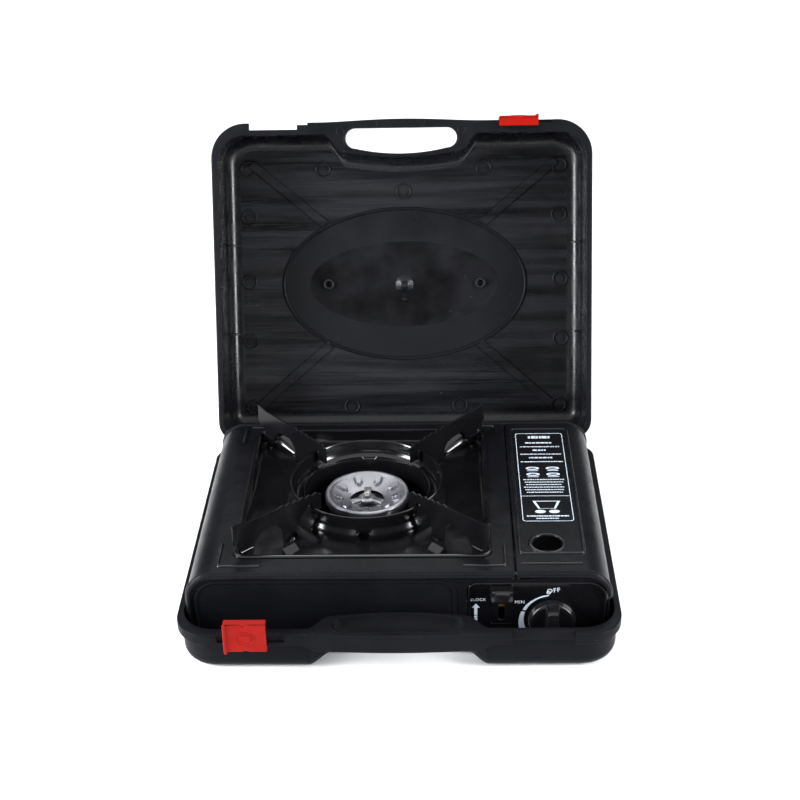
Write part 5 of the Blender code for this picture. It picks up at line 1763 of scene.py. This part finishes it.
# ---------------------------------------------------------------- cooking area
@dataclass
class CookTop:
    """Tray, windshield ring and pan supports, all round the burner's axis."""

    sheet: float = 0.0008
    teeth: int = 6
    notch_half: float = 7.0
    notch_deep: float = 0.0028
    gap_half: float = 5.0

    def __post_init__(self) -> None:
        """Reads the burner's axis and the levels of the plain nodes."""
        ring = middle("windshield_ring")
        self.axis = np.array([ring.x, ring.y])
        self.tray_low, self.tray_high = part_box("drip_tray")
        self.ring_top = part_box("windshield_ring")[1][2]
        self.arm_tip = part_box("support_rear_left")[1][2]
        self.body_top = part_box("main_casing")[1][2]
        self.floor = self.tray_low[2] + self.sheet

    def square(self, inset: float, z: float, radius: float = 0.006) -> Points:
        """Draws the tray's outline, with evenly divided sides.

        Args:
            inset: distance inside the tray's box.
            z: its height.
            radius: its corners' radius.

        Returns:
            The ring of points.
        """
        low, high = self.tray_low, self.tray_high
        outline = rounded(low[0] + inset, high[0] - inset, low[1] + inset, high[1] - inset, (radius,), 8)
        points = []
        for index in range(4):
            corner = outline[index * 9 : index * 9 + 9]
            after = outline[(index * 9 + 9) % 36]
            points += [corner, between(corner[-1], after, 44)]
        flat = np.concatenate(points)
        return np.c_[flat, np.full(len(flat), z)]

    def tray(self) -> None:
        """Makes the tray: a rolled rim, a sunk floor with a pressed ring, and a hole with a collar."""
        rim, floor, wall = self.body_top, self.floor, self.sheet
        edge = self.square(0.0085, floor)
        away = edge[:, :2] - self.axis
        ray = away / np.linalg.norm(away, axis=1, keepdims=True)

        def circle(radius: float, z: float) -> Points:
            """Returns a ring about the burner, point for point with the square ones."""
            return np.c_[self.axis + ray * radius, np.full(len(ray), z)]

        rolls = [(0.0006, rim + 0.0003, 0.0085), (0.0, rim + 0.0009, 0.0090), (0.0006, rim + 0.0016, 0.0086)]
        rolls += [(0.0018, rim + 0.0019, 0.0078), (0.0030, rim + 0.0016, 0.0070)]
        rolls += [(0.0038, rim + 0.0006, 0.0064), (0.0044, floor + 0.0030, 0.0060)]
        rolls += [(0.0052, floor + 0.0010, 0.0058), (0.0068, floor + 0.0001, 0.0054)]
        outer = [self.square(*roll) for roll in rolls] + [edge]
        start = circle(0.0880, floor)
        for t in np.linspace(0, 1, 9)[1:]:
            outer.append(edge * (1 - t) + start * t)
        profile = [(0.0800, 0.0), (0.0760, 0.0), (0.0730, 0.0003), (0.0700, 0.0003)]
        profile += [(0.0600, 0.0), (0.0588, -0.0006), (0.0580, -0.0016)]
        outer += [circle(r, floor + h) for r, h in profile]
        rows = np.stack(outer)
        under = rows.copy()
        under[..., 2] -= wall
        under[:6, :, 2] = rim + 0.0003
        under[3:6, :, :2] = under[6, :, :2][None]
        skin = Skin().grid(np.concatenate([rows, under[::-1]]), along=True)
        for corner in range(4):
            self.corner(skin, math.radians(45 + 90 * corner))
        for bearing, turn in ((50.6, 45), (129.4, 135)):
            self.ramp(skin, math.radians(bearing), 0.1150, math.radians(turn))
        for bearing, turn in ((235.5, 225), (304.5, 315)):
            self.flap(skin, math.radians(bearing), 0.1035, math.radians(turn))
        hand_over(skin.build("tray_pressing", GLOSS), "cook_top", Slot.TRAY, "drip_tray")

    def ramp(self, skin: Skin, bearing: float, out: float, turn: float) -> None:
        """Adds a tapered half-round ramp that comes down from the rim to the floor.

        The section is half an ellipse. It gets narrower and lower along its way, and it lies on the floor.

        Args:
            skin: the skin to add it to.
            bearing: direction of its middle from the burner.
            out: distance of its middle from the burner.
            turn: the direction that it rises in.
        """
        angle = np.radians(np.linspace(0, 180, 17))[None, :]
        t = np.array([0.0, 0.02, 0.1, 0.3, 0.5, 0.7, 0.9, 0.98, 1.0])[:, None]
        shrink = np.array([0.90, 0.97, 1, 1, 1, 1, 1, 0.97, 0.90])[:, None]
        along = -0.0120 + 0.0240 * t + 0 * angle
        across = np.cos(angle) * (0.0076 + 0.0028 * t) * shrink
        height = np.sin(angle) ** 0.7 * (0.0050 + 0.0078 * t) * shrink
        height[:, [0, -1]] = -0.0005
        x = self.axis[0] + out * math.cos(bearing) + along * math.cos(turn) - across * math.sin(turn)
        y = self.axis[1] + out * math.sin(bearing) + along * math.sin(turn) + across * math.cos(turn)
        rows = np.stack([x, y, self.floor + height], axis=-1)
        skin.grid(rows).lids(rows)

    def flap(self, skin: Skin, bearing: float, out: float, turn: float) -> None:
        """Adds a small tab that is cut from the floor and bent up on the side away from the arm.

        Args:
            skin: the skin to add it to.
            bearing: direction of its middle from the burner.
            out: distance of its middle from the burner.
            turn: direction of its fold.
        """
        local = Skin()
        local.plate(rounded(-0.0070, 0.0070, 0.0, 0.0078, (0.0012,), 4), 0.0, 0.0009, edge=0.0003)
        side = 1 if math.cos(turn) < 0 else -1
        lean = spin(38 * -side, "X")
        flip = Matrix.Rotation(0.0 if side < 0 else math.pi, 4, "Z")
        place = (self.axis[0] + out * math.cos(bearing), self.axis[1] + out * math.sin(bearing), self.floor)
        pose = Matrix.Translation(place) @ Matrix.Rotation(turn, 4, "Z") @ lean @ flip
        low = min(v[:, 2].min() for v in local.move(pose).points)
        skin.merge(local.move(Matrix.Translation((0, 0, self.floor - low - 0.0003))))

    def corner(self, skin: Skin, angle: float) -> None:
        """Adds what stands in one corner of the tray: a crease across it and the arm's riveted foot.

        Args:
            skin: the skin to add it to.
            angle: direction of the corner from the burner.
        """
        floor, rim = self.floor, self.body_top
        local = Skin()
        local.bead(np.array([(0.1290, 0.0), (0.1415, 0.0)]), 0.0024, 0.0014, rim + 0.0002)
        for r, half in ((0.0880, 0.0050), (0.1340, 0.0036)):
            foot = rounded(r - 0.0042, r + 0.0042, -half, half, (0.0012,), 4)
            local.plate(foot, floor, floor + 0.0014, edge=0.0004)
        tall = floor + 0.0052
        lug = soften([(0.0815, floor), (0.0835, tall), (0.0850, tall), (0.0850, floor)], 0.0008, 3)
        local.plate(lug, 0.0012, 0.0075, Plane.XZ, edge=0.0003)
        rivet = [(0.0, 0.0016), (0.0014, 0.0013), (0.0020, 0.0), (0.0, 0.0)]
        local.turned(np.array(rivet), (0.0885, 0.0032, floor + 0.0014), 20)
        pose = Matrix.Translation((*self.axis, 0.0)) @ Matrix.Rotation(angle, 4, "Z")
        skin.merge(local.move(pose))

    def windshield(self) -> None:
        """Makes the ring: a lipped outer wall, a shelf and an inner collar with two notches.

        The ring is a turned profile whose collar sinks, and whose foot draws in, near the notches.
        """
        top, floor = self.ring_top, self.floor
        foot = [(0.0700, 0.0003), (0.0702, 0.0022), (0.0694, 0.0056), (0.0678, 0.0090), (0.0664, 0.0120)]
        lip = [(0.0662, -0.0030), (0.0666, -0.0014), (0.0670, -0.0006), (0.0668, 0.0), (0.0660, 0.0002)]
        lip += [(0.0653, -0.0004), (0.0650, -0.0016), (0.0647, -0.0060), (0.0640, -0.0095), (0.0628, -0.0120)]
        shelf = [(0.0610, -0.0136), (0.0590, -0.0144), (0.0572, -0.0142)]
        shelf += [(0.0564, -0.0130), (0.0560, -0.0108)]
        collar = [(0.0554, -0.0101), (0.0546, -0.0104), (0.0542, -0.0116), (0.0534, -0.0160)]
        collar += [(0.0524, -0.0215), (0.0520, -0.0265), (0.0526, -0.0268), (0.0532, -0.0215)]
        under = [(0.0544, -0.0165), (0.0566, -0.0152), (0.0590, -0.0154), (0.0614, -0.0147)]
        under += [(0.0634, -0.0130), (0.0648, -0.0100), (0.0654, -0.0060)]
        inner_foot = [(0.0655, 0.0122), (0.0668, 0.0092), (0.0684, 0.0056), (0.0690, 0.0003)]
        from_floor, from_top = np.array([0.0, floor]), np.array([0.0, top])
        profile = np.concatenate(
            [foot + from_floor, np.array([*lip, *shelf, *collar, *under]) + from_top, inner_foot + from_floor]
        )
        steps = 216
        angle = np.linspace(0, 2 * np.pi, steps, endpoint=False)
        r = np.repeat(profile[:, :1], steps, axis=1)
        z = np.repeat(profile[:, 1:], steps, axis=1)
        from_rear = np.abs(np.degrees(np.angle(np.exp(1j * (angle - np.pi / 2)))))
        from_front = 180 - from_rear
        crest = slice(18, 24)
        for away in (from_rear, from_front):
            z[crest] -= self.notch_deep * smooth_step((self.notch_half - away) / 1.5)[None, :]
        feet = np.r_[0 : len(foot), len(profile) - len(inner_foot) : len(profile)]
        gap = smooth_step((self.gap_half - from_front) / 1.5)[None, :]
        r[feet] = r[feet] * (1 - gap) + np.minimum(r[feet], lip[0][0]) * gap
        rows = np.stack([self.axis[0] + r * np.cos(angle), self.axis[1] + r * np.sin(angle), z], axis=-1)
        skin = Skin().grid(rows, along=True)
        piece = skin.build("windshield_pressing", GLOSS, smooth=50)
        hand_over(piece, "cook_top", Slot.TRAY, "windshield_ring")

    def arm_outline(self) -> Points:
        """Draws one support from its inner end. Each tooth is a ramp with a short drop.

        Returns:
            Its outline as (distance from the axis, height).
        """
        tip = self.arm_tip
        top, floor, clear = tip - 0.0038, self.floor + 0.0003, self.ring_top + 0.001
        start, end = 0.0560, 0.1000
        pitch = (end - start) / self.teeth
        index = np.arange(self.teeth)[:, None]
        base = top - 0.0040 * (1 - index / self.teeth)
        r = start + pitch * index
        edge = np.stack(
            [
                np.concatenate([r, r + pitch * 0.16, r + pitch * 0.42, r + pitch * 0.86], axis=1),
                np.concatenate([base - 0.0017, base + 0.0004, base + 0.0007, base - 0.0004], axis=1),
            ],
            axis=-1,
        ).reshape(-1, 2)
        lower = [
            (0.0530, top - 0.0065), (0.0534, 0.0792), (0.0630, 0.0792), (0.0630, clear), (0.0682, clear),
            (0.0770, 0.0800), (0.0830, floor), (0.0960, floor), (0.0970, 0.0770), (0.1035, 0.0855),
            (0.1185, 0.0855), (0.1260, 0.0785), (0.1300, floor), (0.1380, floor), (0.1405, 0.0815),
            (0.1490, 0.0865), (0.1486, tip - 0.0006), (0.1470, tip), (0.1370, top + 0.0008),
        ]
        return soften([*lower, *edge[::-1].tolist()], 0.0011, 3)

    def arms(self) -> None:
        """Makes the four toothed supports."""
        for index, name in enumerate(("rear_right", "rear_left", "front_left", "front_right")):
            skin = Skin().plate(self.arm_outline(), -0.0008, 0.0008, Plane.XZ, edge=0.00035)
            turn = spin(45 + 90 * index)
            skin.move(Matrix.Translation((*self.axis, 0.0)) @ turn)
            hand_over(skin.build(f"arm_{name}", GLOSS_ARM), "cook_top", Slot.TRAY, f"support_{name}")


@dataclass
class Burner:
    """The burner's cast head with its studs and hub, and the toothed flame ring under it."""

    studs: int = 9
    ports: int = 84

    def head(self) -> None:
        """Makes the dished head.

        The dish is a turned profile on a grid of radius and angle. Each stud lifts it inside a shape like a
        house that points inwards: even in width, then tapered to nothing. A groove runs round the stud.
        """
        low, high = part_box("burner_head")
        at = middle("burner_head")
        radius, top = (high[0] - low[0]) / 2, high[2]
        bowl = [(0.0165 + 0.0145 * t, top - 0.0072 + 0.0052 * t**1.25) for t in np.linspace(0.03, 1, 26)]
        profile = np.array(
            [
                (0.0152, low[2]), (0.0148, top - 0.0078), (0.0154, top - 0.0074), *bowl,
                (0.0318, top - 0.0014), (0.0325, top - 0.0005), (0.0335, top), (0.0352, top - 0.0001),
                (0.0362, top - 0.0006), (radius, top - 0.0018), (radius, low[2] + 0.0012), (0.0360, low[2]),
            ]
        )
        steps = 540
        angle = np.linspace(0, 2 * np.pi, steps, endpoint=False)[None, :]
        r, z = profile[:, :1] + 0 * angle, profile[:, 1:] + 0 * angle
        pitch = 2 * np.pi / self.studs
        turn = (angle - np.pi / 2) % pitch - pitch / 2
        inward = np.clip((0.0232 - r) / 0.0030, 0.0, 1.0)
        half = 0.0029 * (1 - inward)
        side = smooth_step((half - np.abs(r * turn)) / 0.0006 + 0.5)
        stud = side * smooth_step((0.0296 - r) / 0.0010) * (inward < 1)
        groove = smooth_step(1.0 - np.abs(half - np.abs(r * turn)) / 0.0007) * (r > 0.0200) * (r < 0.0300)
        z = z + np.where((r > 0.0165) & (r < 0.0312), stud * 0.0031 - groove * 0.0012, 0.0)
        rows = np.stack([at.x + r * np.cos(angle), at.y + r * np.sin(angle), z], axis=-1)
        skin = Skin().grid(rows, along=True)
        base = low[2]
        hub = [(0.0, 0.0030), (0.0062, 0.0030), (0.0076, 0.0020), (0.0078, 0.0), (0.0, 0.0)]
        hub = soften(hub, 0.0007, 3, False)
        skin.turned(hub, (at.x, at.y, base), 48)
        for index in range(3):
            local = Skin()
            spoke = [(0.005, -0.0026), (0.0165, -0.0034), (0.0165, 0.0034), (0.005, 0.0026)]
            local.plate(soften(spoke, 0.0008, 3), base + 0.0002, base + 0.0031, edge=0.0007)
            turned = spin(90 + 120 * index)
            skin.merge(local.move(Matrix.Translation((at.x, at.y, 0)) @ turned))
        hand_over(skin.build("burner_casting", ALUMINIUM, smooth=45), "stove", Slot.CAST, "burner_head")

    def ports_ring(self) -> None:
        """Makes the flame ring: its outer side is a square wave of ports, four points to a tooth."""
        low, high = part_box("flame_ring")
        at = middle("flame_ring")
        outer = (high[0] - low[0]) / 2
        count = self.ports * 4
        angle = np.linspace(0, 2 * np.pi, count, endpoint=False)
        tooth = np.where(np.arange(count) % 4 < 2, 0.0, 0.0014)
        levels = [(outer - 0.0010, high[2]), (outer, low[2] + 0.0005), (outer - 0.0006, low[2])]
        rows = [np.stack([r - tooth, np.full(count, z)]) for r, z in levels]
        rows += [np.stack([np.full(count, outer - 0.0045), np.full(count, z)]) for z in (low[2], high[2])]
        rz = np.stack(rows)
        x, y = at.x + rz[:, 0] * np.cos(angle), at.y + rz[:, 0] * np.sin(angle)
        skin = Skin().grid(np.stack([x, y, rz[:, 1]], axis=-1), along=True)
        hand_over(skin.build("port_ring", PORT_STEEL, smooth=25), "stove", Slot.PORT, "flame_ring")

    def screw(self) -> None:
        """Makes the brass screw in the hub: a hexagon head with a round hollow."""
        low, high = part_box("cap_screw")
        at = middle("cap_screw")
        outline = arc(at.x, at.y, 0.0036, 0, 360, 6)[:-1]
        hollow = ring_outline(at.x, at.y, 0.0015, 24)
        skin = Skin().plate(outline, low[2], high[2], holes=(hollow,), edge=0.0004)
        skin.plate(ring_outline(at.x, at.y, 0.0015, 24), low[2], high[2] - 0.0006, edge=0.0003, slot=1)
        hand_over(skin.build("hub_screw", ZINC, BRASS), "stove", Slot.BRASS, "cap_screw")


# ---------------------------------------------------------------- carried-over nodes
def dress_nodes() -> None:
    """Gives every plain node that still shows its own finish, by the record's slots."""
    finishes = {
        Slot.CASE: MOULDED,
        Slot.LATCH: LATCH_RED,
        Slot.BODY: ENAMEL,
        Slot.TRAY: GLOSS,
        Slot.PANEL: PANEL_GLOSS,
        Slot.KNOB: KNOB_BLACK,
        Slot.STEEL: ZINC,
        Slot.PORT: PORT_STEEL,
        Slot.CAST: ALUMINIUM,
        Slot.BRASS: BRASS,
        Slot.CERAMIC: CERAMIC,
        Slot.RUBBER: RUBBER,
    }
    slots = {entry["node"]: Slot(entry["material_slot"]) for entry in frame["record"]["subparts"]}
    for name, node in frame["nodes"].items():
        material = paint(finishes[slots[name]])
        if not node.material_slots:
            node.data.materials.append(material)
        for place in node.material_slots:
            place.material = material
        LOG.info("%s: %s", name, material.name)


# ---------------------------------------------------------------- studio
@dataclass
class Studio:
    """A pale floor, soft lights and the camera."""

    lens: float = 69.0
    eye: tuple[float, float, float] = (0.0394, -1.1421, 0.7778)
    tilt: float = 62.01
    turn: float = 1.90
    roll: float = -1.41

    def floor(self) -> None:
        """Makes the floor with a pale, slightly uneven paint."""
        mesh = bpy.data.meshes.new("floor")
        size = 14.0
        corners = [(-size, -size, 0.0), (size, -size, 0.0), (size, size, 0.0), (-size, size, 0.0)]
        mesh.from_pydata(corners, [], [(0, 1, 2, 3)])
        mesh.materials.append(paint(PALE_FLOOR))
        stand("floor", mesh)

    def area(self, name: str, place: tuple, target: tuple, size: tuple[float, float], power: float) -> None:
        """Adds a soft box that looks at a point.

        Args:
            name: its name.
            place: its middle.
            target: the point that it faces.
            size: its width and height.
            power: its power in watts.
        """
        light = bpy.data.lights.new(name, "AREA")
        light.shape = "RECTANGLE"
        light.size, light.size_y = size
        light.energy = power
        light.color = (0.97, 0.985, 1.0)
        made = stand(name, light)
        made.location = place
        made.rotation_euler = (Vector(target) - Vector(place)).to_track_quat("-Z", "Y").to_euler()

    def light(self) -> None:
        """Hangs the soft boxes and sets a dim room."""
        sky = bpy.data.lights.new("ceiling", "SUN")
        sky.energy = 2.9
        sky.angle = math.radians(100)
        stand("ceiling", sky)
        self.area("box_left", (-1.25, -0.50, 0.52), (-0.05, 0.10, 0.12), (0.34, 0.95), 52.0)
        self.area("box_right", (1.25, -0.55, 0.50), (0.05, 0.10, 0.12), (0.30, 0.90), 36.0)
        self.area("box_front", (-0.25, -2.10, 0.55), (0.0, 0.0, 0.12), (1.1, 0.4), 3.2)
        self.area("box_rear", (0.1, 1.7, 1.9), (0.0, 0.0, 0.1), (1.6, 0.6), 16.0)
        world = bpy.data.worlds.new("room")
        world.use_nodes = True
        world.node_tree.nodes["Background"].inputs["Color"].default_value = (0.92, 0.95, 1.0, 1.0)
        world.node_tree.nodes["Background"].inputs["Strength"].default_value = 0.22
        bpy.context.scene.world = world
        bpy.context.scene.view_settings.view_transform = "Standard"

    def camera(self) -> None:
        """Sets the camera: yaw, tilt and a small roll about its own axis."""
        data = bpy.data.cameras.new("camera")
        data.lens = self.lens
        data.sensor_width = 36.0
        data.clip_end = 100.0
        made = stand("camera", data)
        aim = spin(self.turn) @ spin(self.tilt, "X") @ spin(self.roll)
        made.matrix_world = Matrix.Translation(self.eye) @ aim
        bpy.context.scene.camera = made


def main() -> None:
    """Builds the studio and every piece in turn."""
    logging.basicConfig(level=logging.INFO, format="%(message)s")
    studio = Studio()
    studio.camera()
    studio.floor()
    studio.light()
    dress_nodes()
    CaseBase().build()
    lid = CaseLid()
    lid.build()
    low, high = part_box("base_latch")
    Latch("base_latch", "base_latch", -1, wide=0.0345).build((low[0] + high[0]) / 2 + 0.0012)
    low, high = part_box("lid_latch")
    Latch("lid_latch", "lid_latch", 1).build((low[0] + high[0]) / 2, lid.opened())
    body = StoveBody()
    body.casing()
    body.front_sheet()
    body.cover()
    controls = Controls()
    controls.panel()
    controls.knob()
    controls.lever()
    cook_top = CookTop()
    cook_top.tray()
    cook_top.windshield()
    cook_top.arms()
    burner = Burner()
    burner.head()
    burner.ports_ring()
    burner.screw()


if __name__ == "__main__":
    main()
